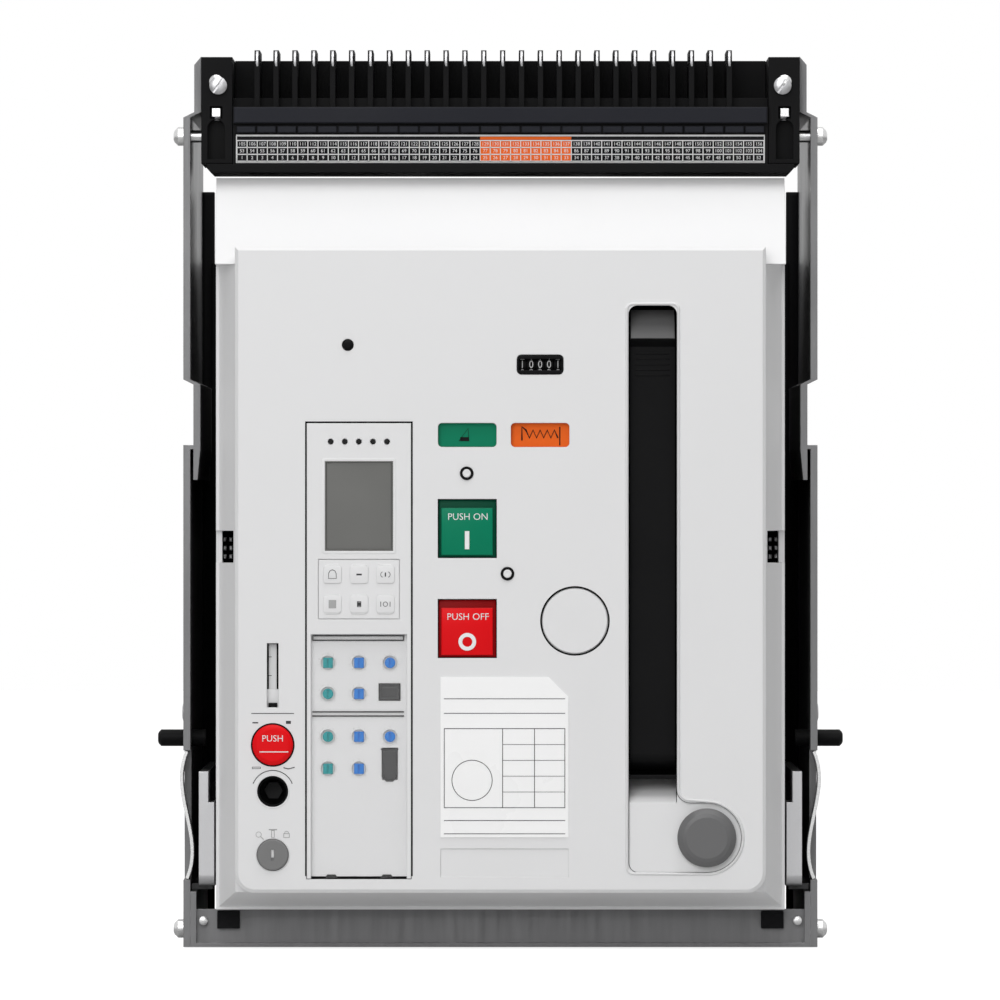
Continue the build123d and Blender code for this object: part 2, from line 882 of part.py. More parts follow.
# End blocks with sockets and recesses, bored from the side for the top bolts
end_block_outer = plate_inner - top_joggle - running_gap
end_block_bottom = block_bottom + lip_height + running_gap
with BuildPart() as end_blocks:
    for side in (-1, 1):
        near, far = sorted((side * (block_half_width + running_gap), side * end_block_outer))
        with BuildSketch(facing(block_rear)):
            rectangle(near, far, end_block_bottom, block_top)
        extrude(amount=block_rear - block_front)
        with BuildSketch(facing(block_front)):
            with Locations((side * end_hardware_place, end_pin_level)):
                Rectangle(end_pin_size + 2 * end_socket_gap, end_pin_size + 2 * end_socket_gap)
            with Locations((side * end_hardware_place, end_window_level)):
                Rectangle(end_window_width, end_window_height)
            with Locations((side * end_hardware_place, end_arch_level)):
                Rectangle(end_window_width, end_window_height)
            with Locations((side * end_hardware_place, end_arch_level + end_window_height / 2)):
                Circle(end_window_width / 2, mode=Mode.ADD)
        extrude(amount=-end_window_depth, mode=Mode.SUBTRACT)
        with BuildSketch(side_on(side * end_block_outer)):
            with Locations((cradle_front + bolt_setback, bolt_heights[1])):
                Circle(bolt_shank_radius + running_gap)
        extrude(amount=-side * end_bore_depth, mode=Mode.SUBTRACT)
end_blocks.part.label = "end_blocks"
export_step(end_blocks.part, "parts/end_blocks.step")

# Domed screws and square pins on the end blocks
with BuildPart() as block_screws:
    for side in (-1, 1):
        with BuildSketch(facing(block_front)):
            with Locations((side * end_hardware_place, end_screw_level)):
                Circle(end_screw_radius)
        extrude(amount=end_screw_height)
    dome(block_screws, Axis.Y, end_screw_dome)
    with BuildSketch(facing(block_front + end_window_depth)):
        for side in (-1, 1):
            with Locations((side * end_hardware_place, end_pin_level)):
                Rectangle(end_pin_size, end_pin_size)
    extrude(amount=end_window_depth + end_pin_proud)
block_screws.part.label = "block_screws"
export_step(block_screws.part, "parts/block_screws.step")

# Strip for the terminal numbers
with BuildPart() as number_strip:
    with BuildSketch(facing(block_front + strip_recess)):
        rectangle(
            running_gap - strip_half_width,
            strip_half_width - running_gap,
            strip_bottom + running_gap,
            strip_top - running_gap,
        )
    extrude(amount=strip_thickness)
number_strip.part.label = "number_strip"
export_step(number_strip.part, "parts/number_strip.step")

# Catch springs in the front edges of the side plates
plate_middle = plate_outer - plate_thickness / 2
with BuildPart() as catch_springs:
    for side in (-1, 1):
        with BuildSketch(facing(cradle_front + spring_depth - sliding_gap)):
            with BuildLine():
                Spline(
                    (side * plate_middle, spring_crest - sliding_gap),
                    (side * (plate_middle + spring_bulge), spring_crest - spring_bend),
                    (side * plate_middle, (spring_crest + spring_bottom) / 2),
                    (side * (plate_middle - spring_bulge), spring_bottom + spring_bend),
                    (side * plate_middle, spring_bottom + sliding_gap),
                )
            trace(line_width=spring_thickness)
        extrude(amount=spring_depth - 2 * sliding_gap)
catch_springs.part.label = "catch_springs"
export_step(catch_springs.part, "parts/catch_springs.step")

# Extension rails: stepped bars that carry the breaker
with BuildPart() as extension_rails:
    for side in (-1, 1):
        with BuildSketch(facing(rail_rear)):
            with BuildLine():
                Polyline(
                    (side * rail_outer, rail_bottom),
                    (side * rail_outer, rail_crest),
                    (side * (rail_outer - rail_neck), rail_crest),
                    (side * (rail_outer - rail_neck), rail_shoulder),
                    (side * rail_inner, rail_shoulder),
                    (side * rail_inner, rail_bottom),
                    close=True,
                )
            make_face()
        extrude(amount=rail_rear - rail_front)
    noses = extension_rails.edges().filter_by(Axis.X).group_by(Axis.Y)[0].group_by(Axis.Z)[0]
    fillet(noses, rail_nose)
extension_rails.part.label = "extension_rails"
export_step(extension_rails.part, "parts/extension_rails.step")

# Release pins that pass through the side plates
for side, name in ((-1, "release_pin_left"), (1, "release_pin_right")):
    with BuildPart() as release_pin:
        with BuildSketch(side_on(side * pin_inner_end)):
            with Locations((cradle_front + pin_setback, pin_height)):
                Circle(pin_radius)
        extrude(amount=side * (plate_outer + pin_reach - pin_inner_end))
        dome(release_pin, Axis.X.reverse() if side > 0 else Axis.X, pin_round)
    release_pin.part.label = name
    export_step(release_pin.part, f"parts/{name}.step")

# Moulded base of the breaker with its drive bay, pole chambers and lugs
with BuildPart() as breaker_base:
    with BuildSketch(facing(base_rear)):
        rectangle(-base_half_width, base_half_width, base_bottom, base_top)
        fillet(vertices(), base_corner)
    extrude(amount=base_rear - cover_back)
    with BuildSketch(Plane.XY.offset(base_top)):
        rectangle(-plug_half_width, plug_half_width, plug_front, plug_front + plug_depth)
    extrude(amount=plug_top - base_top)
    with BuildSketch(facing(cover_back)):
        rectangle(-bay_half_width, bay_half_width, bay_bottom, bay_top)
    extrude(amount=cover_back - bay_back, mode=Mode.SUBTRACT)
    with BuildSketch(Plane.XY.offset(base_top)):
        for place in pole_places:
            with Locations((place, (chamber_front + chamber_back) / 2)):
                Rectangle(chamber_width, chamber_back - chamber_front)
    extrude(amount=chamber_bottom - base_top, mode=Mode.SUBTRACT)
    for place in pole_places:
        for height in terminal_heights:
            with BuildSketch(facing(base_rear)):
                with Locations((place, height)):
                    Rectangle(jaw_pocket_width, jaw_pocket_height)
            extrude(amount=base_rear - jaw_pocket_front, mode=Mode.SUBTRACT)
            with BuildSketch(facing(jaw_pocket_front)):
                with Locations((place, height)):
                    Rectangle(terminal_width + 2 * running_gap, terminal_thickness + 2 * running_gap)
            extrude(amount=jaw_pocket_front - chamber_back, mode=Mode.SUBTRACT)
    for side in (-1, 1):
        for place in lug_places:
            with BuildSketch(side_on(side * base_half_width)):
                rectangle(
                    place - lug_length / 2,
                    place + lug_length / 2,
                    rail_shoulder + running_gap,
                    rail_shoulder + running_gap + lug_height,
                )
            extrude(amount=side * lug_reach)
breaker_base.part.label = "breaker_base"
export_step(breaker_base.part, "parts/breaker_base.step")


def cover_profile(inset, bottom):
    """Draws the cover seen from the side, some way inside its outer faces, down to a height."""
    with BuildLine() as outline:
        Polyline(
            (cover_back, bottom),
            (cover_front + inset, bottom),
            (cover_front + inset, slope_start - inset / 2),
            (cover_slope_back + inset / 2, cover_top - inset),
            (cover_back, cover_top - inset),
            close=True,
        )
    make_face(outline.edges())


# Outer cover: a shell whose side and bottom margins slope back to a narrow flange
with BuildPart() as outer_cover:
    with BuildSketch(side_on(-cover_half_width)):
        cover_profile(0, cover_bottom)
    extrude(amount=2 * cover_half_width)
    for side in (-1, 1):
        with BuildSketch(Plane.XY.offset(cover_bottom)):
            with BuildLine():
                Polyline(
                    (side * panel_half_width, cover_front),
                    (side * (cover_half_width - cover_flange), cover_front + margin_depth),
                    (side * cover_half_width, cover_front + margin_depth),
                    (side * cover_half_width, cover_front),
                    close=True,
                )
            make_face()
        extrude(amount=slope_start - cover_bottom, mode=Mode.SUBTRACT)
    with BuildSketch(side_on(-cover_half_width)):
        with BuildLine():
            Polyline(
                (cover_front, panel_bottom),
                (cover_front + margin_depth, cover_bottom + cover_flange),
                (cover_front + margin_depth, cover_bottom),
                (cover_front, cover_bottom),
                close=True,
            )
        make_face()
    extrude(amount=2 * cover_half_width, mode=Mode.SUBTRACT)
    # hollow inside: narrow behind the sloping margins, wide behind the flange
    with BuildSketch(side_on(cover_wall - panel_half_width)):
        cover_profile(cover_wall, panel_bottom + cover_wall)
    extrude(amount=2 * (panel_half_width - cover_wall), mode=Mode.SUBTRACT)
    with BuildSketch(side_on(cover_wall - cover_half_width)):
        cover_profile(cover_wall, cover_bottom + cover_wall)
        rectangle(cover_front, cover_front + margin_depth + cover_wall, cover_bottom, cover_top, Mode.SUBTRACT)
    extrude(amount=2 * (cover_half_width - cover_wall), mode=Mode.SUBTRACT)
    with BuildSketch(facing(cover_front + cover_wall)):
        rectangle(
            panel_lip - panel_half_width,
            panel_half_width - panel_lip,
            panel_bottom + panel_lip,
            slope_start - panel_lip,
        )
    extrude(amount=cover_wall, mode=Mode.SUBTRACT)
    with BuildSketch(facing(cover_front)):
        for side in (-1, 1):
            near, far = sorted((side * (panel_half_width + notch_inset), side * cover_half_width))
            rectangle(near, far, notch_bottom, notch_bottom + notch_height)
    extrude(amount=-notch_depth, mode=Mode.SUBTRACT)
outer_cover.part.label = "outer_cover"
export_step(outer_cover.part, "parts/outer_cover.step")


def foot_outline(slot_end):
    """Draws the foot round its hub, with the slot above it up to a height."""
    hub_x, hub_z = foot_hub_place
    hub_top = hub_z + foot_hub_radius
    rectangle(handle_left, hub_x, hub_z - foot_hub_radius, hub_top)
    with Locations(foot_hub_place):
        Circle(foot_hub_radius)
    rectangle(handle_left, handle_right, hub_z, slot_end)
    fillet(vertices().sort_by_distance((handle_right, hub_top, 0))[0], foot_inner_corner)
    fillet(vertices().sort_by_distance((handle_left, hub_z - foot_hub_radius, 0))[0], foot_corner)


# Front panel: a raised tray with every opening of the face
with BuildPart() as front_panel:
    with BuildSketch(facing(cover_front)):
        rectangle(-panel_half_width, panel_half_width, panel_bottom, panel_top)
        fillet(vertices().group_by(Axis.Y)[0], panel_corner)
    extrude(amount=cover_front - panel_front)
    chamfer(front_panel.faces().sort_by(Axis.Y)[0].edges(), panel_chamfer)
    with BuildSketch(facing(cover_front)):
        rectangle(
            panel_thickness - panel_half_width,
            panel_half_width - panel_thickness,
            panel_bottom + panel_thickness,
            panel_top - panel_thickness,
        )
        fillet(vertices().group_by(Axis.Y)[0], panel_corner - panel_thickness)
    extrude(amount=cover_front - panel_back, mode=Mode.SUBTRACT)
    # ears that hold the counter's shaft
    for side in (-1, 1):
        with BuildSketch(side_on(counter_place[0] + side * ear_place)):
            rectangle(
                panel_back,
                panel_back + 2 * drum_radius + running_gap,
                counter_place[1] - drum_radius / 2,
                counter_place[1] + drum_radius / 2,
            )
            with Locations((panel_back + drum_radius + running_gap, counter_place[1])):
                Circle(drum_shaft_radius + running_gap, mode=Mode.SUBTRACT)
        extrude(amount=side * ear_thickness)
    with BuildSketch(facing(panel_back)):
        rectangle(
            trip_left - running_gap,
            trip_right + running_gap,
            trip_bottom - running_gap,
            trip_top + running_gap,
        )
        with Locations(counter_place):
            RectangleRounded(*counter_window, counter_corner)
        with Locations(on_off_flag_place, spring_flag_place):
            RectangleRounded(*flag_window, flag_corner)
        with Locations(on_button_place, off_button_place):
            Rectangle(button_frame, button_frame)
        with Locations(reset_place):
            Circle(reset_radius + running_gap)
        with Locations(release_place):
            Circle(release_radius + running_gap)
        with Locations(crank_hole_place):
            Circle(crank_hole_radius)
        with Locations(lock_place):
            Circle(lock_radius + running_gap)
        with Locations(pointer_place):
            Rectangle(*pointer_slot)
    extrude(amount=panel_thickness, mode=Mode.SUBTRACT)
    with BuildSketch(facing(panel_back)):
        foot_outline(handle_slot_top)
        fillet(vertices().group_by(Axis.Y)[-1], handle_slot_corner)
    extrude(amount=panel_thickness, mode=Mode.SUBTRACT)
    with BuildSketch(facing(panel_front + blank_depth)):
        rectangle(label_left, label_right, blank_top - blank_height, blank_top)
    extrude(amount=blank_depth, mode=Mode.SUBTRACT)
    with BuildSketch(facing(panel_front + lock_ring_depth)):
        with Locations(lock_ring_place):
            Circle(lock_ring_radius)
            Circle(lock_ring_radius - lock_ring_width, mode=Mode.SUBTRACT)
    extrude(amount=lock_ring_depth, mode=Mode.SUBTRACT)
    with BuildSketch(facing(panel_front)):
        with Locations(*stud_places):
            Circle(stud_radius)
    extrude(amount=stud_proud)
front_panel.part.label = "front_panel"
export_step(front_panel.part, "parts/front_panel.step")

# Black channel behind the handle's slot
with BuildPart() as handle_channel:
    with BuildSketch(facing(panel_back + channel_depth)):
        rectangle(
            handle_left - channel_wall,
            handle_right + channel_wall,
            handle_slot_bottom - channel_wall,
            handle_slot_top + channel_wall,
        )
    extrude(amount=(panel_back + channel_depth) - panel_back)
    with BuildSketch(facing(panel_back + channel_depth - channel_wall)):
        rectangle(handle_left, handle_right, handle_slot_bottom, handle_slot_top)
    extrude(amount=(panel_back + channel_depth) - channel_wall - panel_back, mode=Mode.SUBTRACT)
    with BuildSketch(side_on(handle_left - channel_wall)):
        with Locations((handle_pivot_y, handle_pivot_z)):
            Circle(handle_pin_radius + running_gap)
    extrude(amount=handle_right - handle_left + 2 * channel_wall, mode=Mode.SUBTRACT)
handle_channel.part.label = "handle_channel"
export_step(handle_channel.part, "parts/handle_channel.step")

# White foot below the handle, sloping out of the channel towards the hub
with BuildPart() as handle_foot:
    with BuildSketch(facing(panel_front + foot_depth + foot_thickness)):
        foot_outline(slope_top)
        offset(amount=-running_gap)
    extrude(amount=foot_thickness)
    with BuildSketch(facing(panel_front + foot_depth + foot_thickness)):
        rectangle(handle_left, handle_right, foot_top, slope_top)
    extrude(amount=foot_thickness, mode=Mode.SUBTRACT)
    with BuildSketch(side_on(handle_left + running_gap)):
        with BuildLine():
            Polyline(
                (panel_front + foot_depth, foot_top),
                (panel_back + foot_slope_depth, slope_top),
                (panel_back + channel_depth, slope_top),
                (panel_back + channel_depth, foot_top - foot_thickness),
                (panel_front + foot_depth + foot_thickness, foot_top - foot_thickness),
                close=True,
            )
        make_face()
    extrude(amount=handle_right - handle_left - 2 * running_gap)
handle_foot.part.label = "handle_foot"
export_step(handle_foot.part, "parts/handle_foot.step")

# Domed grey cap on the foot
with BuildPart() as hub_cap:
    with BuildSketch(facing(panel_front + foot_depth)):
        with Locations(foot_hub_place):
            Circle(cap_radius)
    extrude(amount=cap_height)
    dome(hub_cap, Axis.Y, cap_dome)
hub_cap.part.label = "hub_cap"
export_step(hub_cap.part, "parts/hub_cap.step")

# Charging handle: a bar with a sloping grip, a round hub and its pivot pin
with BuildPart() as charging_handle:
    with BuildSketch(side_on(handle_left + finger_gap)):
        with BuildLine():
            Polyline(
                (handle_pivot_y + handle_hub_radius, handle_pivot_z),
                (handle_pivot_y + handle_hub_radius, handle_tip),
                (handle_pivot_y, handle_tip),
                (handle_pivot_y - handle_hub_radius - grip_proud, handle_tip - grip_slope),
                (handle_pivot_y - handle_hub_radius, handle_tip - grip_length),
                (handle_pivot_y - handle_hub_radius, handle_pivot_z),
            )
            ThreePointArc(
                (handle_pivot_y - handle_hub_radius, handle_pivot_z),
                (handle_pivot_y, handle_pivot_z - handle_hub_radius),
                (handle_pivot_y + handle_hub_radius, handle_pivot_z),
            )
        make_face()
    extrude(amount=handle_right - handle_left - 2 * finger_gap)
    with BuildSketch(side_on(handle_left - channel_wall + running_gap)):
        with Locations((handle_pivot_y, handle_pivot_z)):
            Circle(handle_pin_radius)
    extrude(amount=handle_right - handle_left + 2 * channel_wall - 2 * running_gap)
charging_handle.part.label = "charging_handle"
export_step(charging_handle.part, "parts/charging_handle.step")

# Rating plate with one cut corner and a lock for its bare face
with BuildPart() as rating_plate:
    with BuildSketch(facing(panel_front)):
        rectangle(label_left, label_right, label_bottom, label_top)
        chamfer(vertices().group_by(Axis.Y)[-1].sort_by(Axis.X)[-1], label_corner)
    extrude(amount=label_proud)
rating_plate.part.label = "rating_plate"
export_step(rating_plate.part, "parts/rating_plate.step")

# Trip unit: a deep housing with a screen recess, dial wells and a covered lower bay
dial_places = []
for row, height in enumerate(dial_rows):
    columns = dial_columns[:2] if row in dial_short_rows else dial_columns
    dial_places += [(column, height) for column in columns]
lower_face = panel_front - trip_proud + cover_recess
with BuildPart() as trip_unit:
    with BuildSketch(facing(trip_back)):
        rectangle(trip_left, trip_right, trip_bottom, trip_top)
    extrude(amount=trip_back - panel_front + trip_proud)
    with BuildSketch(facing(lower_face)):
        rectangle(trip_left + cover_rim, trip_right - cover_rim, trip_bottom, split_height - cover_rim)
    extrude(amount=cover_recess, mode=Mode.SUBTRACT)
    with BuildSketch(facing(panel_front - trip_proud + screen_recess)):
        rectangle(screen_left, screen_right, screen_bottom, screen_top)
    extrude(amount=screen_recess, mode=Mode.SUBTRACT)
    with BuildSketch(facing(panel_front - trip_proud + keypad_thickness)):
        rectangle(keypad_left, keypad_right, keypad_bottom, keypad_top)
    extrude(amount=keypad_thickness, mode=Mode.SUBTRACT)
    with BuildSketch(facing(lower_face + dial_depth)):
        with Locations(*dial_places):
            Circle(dial_radius + running_gap)
        with Locations(socket_place):
            Rectangle(*socket_size)
        with Locations(port_place):
            Rectangle(*port_size)
    extrude(amount=dial_depth, mode=Mode.SUBTRACT)
    with BuildSketch(facing(panel_front - trip_proud + lens_depth)):
        with Locations(*[(place, lens_height) for place in lens_places]):
            Circle(lens_radius + running_gap)
    extrude(amount=lens_depth, mode=Mode.SUBTRACT)
trip_unit.part.label = "trip_unit"
export_step(trip_unit.part, "parts/trip_unit.step")

# Screen, five status lenses and the keypad sheet with its six raised keys
with BuildPart() as trip_screen:
    with BuildSketch(facing(panel_front - trip_proud + screen_recess)):
        rectangle(
            screen_left + running_gap,
            screen_right - running_gap,
            screen_bottom + running_gap,
            screen_top - running_gap,
        )
    extrude(amount=screen_recess)
    with BuildSketch(facing(panel_front - trip_proud + screen_rim)):
        rectangle(
            screen_left + screen_rim,
            screen_right - screen_rim,
            screen_bottom + screen_rim,
            screen_top - screen_rim,
        )
    extrude(amount=screen_rim, mode=Mode.SUBTRACT)
trip_screen.part.label = "trip_screen"
export_step(trip_screen.part, "parts/trip_screen.step")

with BuildPart() as status_lenses:
    with BuildSketch(facing(panel_front - trip_proud + lens_depth)):
        with Locations(*[(place, lens_height) for place in lens_places]):
            Circle(lens_radius)
    extrude(amount=lens_depth + lens_proud)
status_lenses.part.label = "status_lenses"
export_step(status_lenses.part, "parts/status_lenses.step")

with BuildPart() as keypad:
    with BuildSketch(facing(panel_front - trip_proud + keypad_thickness)):
        rectangle(
            keypad_left + running_gap,
            keypad_right - running_gap,
            keypad_bottom + running_gap,
            keypad_top - running_gap,
        )
    extrude(amount=keypad_thickness)
    with BuildSketch(facing(panel_front - trip_proud)):
        with Locations(*[(column, row) for column in key_columns for row in key_rows]):
            RectangleRounded(key_width, key_height, key_corner)
    extrude(amount=key_proud, taper=20)
keypad.part.label = "keypad"
export_step(keypad.part, "parts/keypad.step")

# Ten setting dials with a slotted face
for number, (place, height) in enumerate(dial_places, 1):
    with BuildPart() as dial:
        with BuildSketch(facing(lower_face + dial_depth)):
            with Locations((place, height)):
                Circle(dial_radius)
        extrude(amount=dial_depth - dial_sink)
        with BuildSketch(facing(lower_face + dial_sink + dial_slot)):
            with Locations((place, height)):
                Rectangle(dial_slot, 2 * dial_radius)
        extrude(amount=dial_slot, mode=Mode.SUBTRACT)
    dial.part.label = f"dial_{number}"
    export_step(dial.part, f"parts/dial_{number}.step")

# Clear hinged cover of the lower bay, with two knuckles at its bottom edge
hinge_y = panel_front - trip_proud + hinge_radius + running_gap
hinge_z = trip_bottom + hinge_radius + running_gap
with BuildPart() as clear_cover:
    with BuildSketch(facing(panel_front - trip_proud + clear_cover_thickness)):
        rectangle(
            trip_left + cover_rim + running_gap,
            trip_right - cover_rim - running_gap,
            hinge_z,
            split_height - cover_rim - running_gap,
        )
    extrude(amount=clear_cover_thickness)
    with BuildSketch(facing(panel_front - trip_proud + clear_cover_thickness)):
        rectangle(
            trip_left + cover_border,
            trip_right - cover_border,
            hinge_z + cover_border,
            split_height - cover_border,
        )
    extrude(amount=clear_cover_thickness - clear_pane, mode=Mode.SUBTRACT)
    for place in hinge_places:
        with BuildSketch(side_on(place - hinge_length / 2)):
            with Locations((hinge_y, hinge_z)):
                Circle(hinge_radius)
        extrude(amount=hinge_length)
clear_cover.part.label = "clear_cover"
export_step(clear_cover.part, "parts/clear_cover.step")


# Push buttons, each with its face, its flange and a stem to the drive
for (place, height), name in ((on_button_place, "on_button"), (off_button_place, "off_button")):
    with BuildPart() as button:
        with BuildSketch(facing(panel_back)):
            with Locations((place, height)):
                Rectangle(button_frame - 2 * running_gap, button_frame - 2 * running_gap)
        extrude(amount=panel_thickness - button_recess)
        with BuildSketch(facing(panel_front + button_recess)):
            with Locations((place, height - face_drop)):
                Rectangle(*button_face)
        extrude(amount=button_recess - button_sink)
        with BuildSketch(facing(panel_back)):
            with Locations((place, height)):
                Rectangle(button_frame - 2 * running_gap, button_frame - 2 * running_gap)
        extrude(amount=-button_skirt)
        with BuildSketch(facing(panel_back + button_skirt)):
            with Locations((place, height)):
                Circle(button_stem_radius)
        extrude(amount=panel_back + button_skirt - button_back)
        chamfer(button.faces().sort_by(Axis.Y)[0].edges(), button_bevel)
    button.part.label = name
    export_step(button.part, f"parts/{name}.step")

with BuildPart() as release_button:
    with BuildSketch(facing(panel_back + button_skirt)):
        with Locations(release_place):
            Circle(release_radius)
    extrude(amount=button_skirt + panel_thickness + release_proud)
    dome(release_button, Axis.Y, release_dome)
    with BuildSketch(facing(panel_back + button_skirt)):
        with Locations(release_place):
            Circle(button_stem_radius)
    extrude(amount=panel_back + button_skirt - button_back)
release_button.part.label = "release_button"
export_step(release_button.part, "parts/release_button.step")

with BuildPart() as reset_button:
    with BuildSketch(facing(button_back)):
        with Locations(reset_place):
            Circle(reset_radius)
    extrude(amount=button_back - panel_front + reset_proud)
    dome(reset_button, Axis.Y, reset_dome)
reset_button.part.label = "reset_button"
export_step(reset_button.part, "parts/reset_button.step")

# Key lock: a disc with its key slot and the barrel behind it
with BuildPart() as key_lock:
    with BuildSketch(facing(panel_back)):
        with Locations(lock_place):
            Circle(lock_radius)
    extrude(amount=panel_thickness + lock_proud)
    chamfer(key_lock.faces().sort_by(Axis.Y)[0].edges(), lock_bevel)
    with BuildSketch(facing(panel_back)):
        with Locations(lock_place):
            Circle(lock_barrel_radius)
    extrude(amount=panel_back - button_back)
    with BuildSketch(facing(panel_front)):
        with Locations(lock_place):
            Rectangle(*key_slot)
    extrude(amount=lock_proud, mode=Mode.SUBTRACT)
key_lock.part.label = "key_lock"
export_step(key_lock.part, "parts/key_lock.step")

# Racking spindle: a threaded shank with a hexagonal front end
with BuildPart() as racking_spindle:
    with BuildSketch(facing(bay_back - running_gap)):
        with Locations(crank_hole_place):
            Circle(spindle_radius)
    extrude(amount=bay_back - running_gap - spindle_front - spindle_hex_length)
    with BuildSketch(facing(spindle_front + spindle_hex_length)):
        with Locations(crank_hole_place):
            RegularPolygon(spindle_hex, 6)
    extrude(amount=spindle_hex_length)
    with BuildSketch(facing(spindle_front + spindle_hex_length)):
        with Locations(crank_hole_place):
            Circle(spindle_collar_radius)
    extrude(amount=-spindle_collar_width)
racking_spindle.part.label = "racking_spindle"
export_step(racking_spindle.part, "parts/racking_spindle.step")

# Position pointer: a slide behind the slot with a tip that shows in it
with BuildPart() as position_pointer:
    slot_low = pointer_place[1] - pointer_slot[1] / 2
    with BuildSketch(facing(panel_back + sliding_gap + flag_thickness)):
        rectangle(
            pointer_place[0] - pointer_slot[0],
            pointer_place[0] + pointer_slot[0],
            slot_low - pointer_tip,
            slot_low + 2 * pointer_tip,
        )
    extrude(amount=flag_thickness)
    with BuildSketch(facing(panel_back + sliding_gap)):
        rectangle(
            pointer_place[0] - pointer_slot[0] / 2 + running_gap,
            pointer_place[0] + pointer_slot[0] / 2 - running_gap,
            slot_low + running_gap,
            slot_low + running_gap + pointer_tip,
        )
    extrude(amount=sliding_gap + panel_thickness / 2)
position_pointer.part.label = "position_pointer"
export_step(position_pointer.part, "parts/position_pointer.step")

# Flags behind the two windows
flag_names = ((on_off_flag_place, "on_off_flag"), (spring_flag_place, "spring_flag"))
for (place, height), name in flag_names:
    with BuildPart() as flag:
        with BuildSketch(facing(panel_back + sliding_gap + flag_thickness)):
            rectangle(
                place - flag_window[0] / 2 - flag_margin,
                place + flag_window[0] / 2 + flag_margin,
                height - flag_window[1] / 2 - flag_margin - flag_travel,
                height + flag_window[1] / 2 + flag_margin,
            )
            fillet(vertices(), flag_corner)
        extrude(amount=flag_thickness)
    flag.part.label = name
    export_step(flag.part, f"parts/{name}.step")

# Counter drums: the first carries the shaft, the others turn on it
drum_y = panel_back + drum_radius + running_gap
drum_row_start = counter_place[0] - (drum_count - 1) / 2 * drum_pitch
drum_places = [drum_row_start + number * drum_pitch for number in range(drum_count)]
with BuildPart() as counter_units:
    with BuildSketch(side_on(drum_places[-1] - drum_width / 2)):
        with Locations((drum_y, counter_place[1])):
            Circle(drum_radius)
    extrude(amount=drum_width)
    with BuildSketch(side_on(counter_place[0])):
        with Locations((drum_y, counter_place[1])):
            Circle(drum_shaft_radius)
    extrude(amount=ear_place + ear_thickness, both=True)
counter_units.part.label = "counter_units"
export_step(counter_units.part, "parts/counter_units.step")

drum_groups = (("counter_tens", drum_places[-2:-1]), ("counter_high", drum_places[:-2]))
for name, places in drum_groups:
    with BuildPart() as drum:
        for place in places:
            with BuildSketch(side_on(place - drum_width / 2)):
                with Locations((drum_y, counter_place[1])):
                    Circle(drum_radius)
                    Circle(drum_shaft_radius + running_gap, mode=Mode.SUBTRACT)
            extrude(amount=drum_width)
    drum.part.label = name
    export_step(drum.part, f"parts/{name}.step")

# Frame plates of the drive, bored for its two shafts
with BuildPart() as frame_plates:
    for place in frame_plate_places:
        with BuildSketch(side_on(place)):
            rectangle(frame_plate_front, bay_back, frame_plate_bottom, frame_plate_top)
            fillet(vertices().group_by(Axis.X)[0], frame_plate_corner)
            with Locations((main_shaft_y, main_shaft_z)):
                Circle(main_shaft_radius + running_gap, mode=Mode.SUBTRACT)
            with Locations((cam_shaft_y, cam_shaft_z)):
                Circle(cam_shaft_radius + running_gap, mode=Mode.SUBTRACT)
        extrude(amount=frame_plate_thickness)
frame_plates.part.label = "frame_plates"
export_step(frame_plates.part, "parts/frame_plates.step")

# Main shaft with one crank for each pole
with BuildPart() as main_shaft:
    with BuildSketch(side_on(0)):
        with Locations((main_shaft_y, main_shaft_z)):
            Circle(main_shaft_radius)
    extrude(amount=bay_half_width - running_gap, both=True)
    for place in [pole + crank_shift for pole in pole_places]:
        with BuildSketch(side_on(place - crank_thickness / 2)):
            with Locations((main_shaft_y, main_shaft_z)):
                Circle(main_shaft_radius + crank_thickness / 4)
            with Locations((main_shaft_y, main_shaft_z - crank_radius / 2)):
                SlotCenterToCenter(crank_radius / 2, main_shaft_radius, rotation=90)
        extrude(amount=crank_thickness)
main_shaft.part.label = "main_shaft"
export_step(main_shaft.part, "parts/main_shaft.step")

# Charging shaft with its cam and ratchet wheel
with BuildPart() as cam_shaft:
    with BuildSketch(side_on(frame_plate_places[0] - cam_end)):
        with Locations((cam_shaft_y, cam_shaft_z)):
            Circle(cam_shaft_radius)
    extrude(amount=frame_plate_places[1] - frame_plate_places[0] + 2 * cam_end)
    with BuildSketch(side_on(frame_plate_middle - cam_width / 2)):
        with Locations((cam_shaft_y + cam_lift, cam_shaft_z)):
            Circle(cam_radius)
    extrude(amount=cam_width)
    with BuildSketch(side_on(frame_plate_places[1] - ratchet_width - running_gap)):
        with Locations((cam_shaft_y, cam_shaft_z)):
            Circle(ratchet_radius)
            with PolarLocations(ratchet_radius, ratchet_teeth):
                Rectangle(ratchet_notch, ratchet_notch, rotation=30, mode=Mode.SUBTRACT)
    extrude(amount=ratchet_width)
cam_shaft.part.label = "cam_shaft"
export_step(cam_shaft.part, "parts/cam_shaft.step")

# Charging motor with its gearbox, flanged to the right frame plate
motor_start = frame_plate_places[1] + frame_plate_thickness
with BuildPart() as charging_motor:
    with BuildSketch(side_on(motor_start)):
        with Locations((motor_y, motor_z)):
            RectangleRounded(2 * motor_radius, 2 * motor_radius, motor_corner)
    extrude(amount=gearbox_length)
    with BuildSketch(side_on(motor_start + gearbox_length)):
        with Locations((motor_y, motor_z)):
            Circle(motor_radius)
    extrude(amount=motor_length - gearbox_length)
charging_motor.part.label = "charging_motor"
export_step(charging_motor.part, "parts/charging_motor.step")

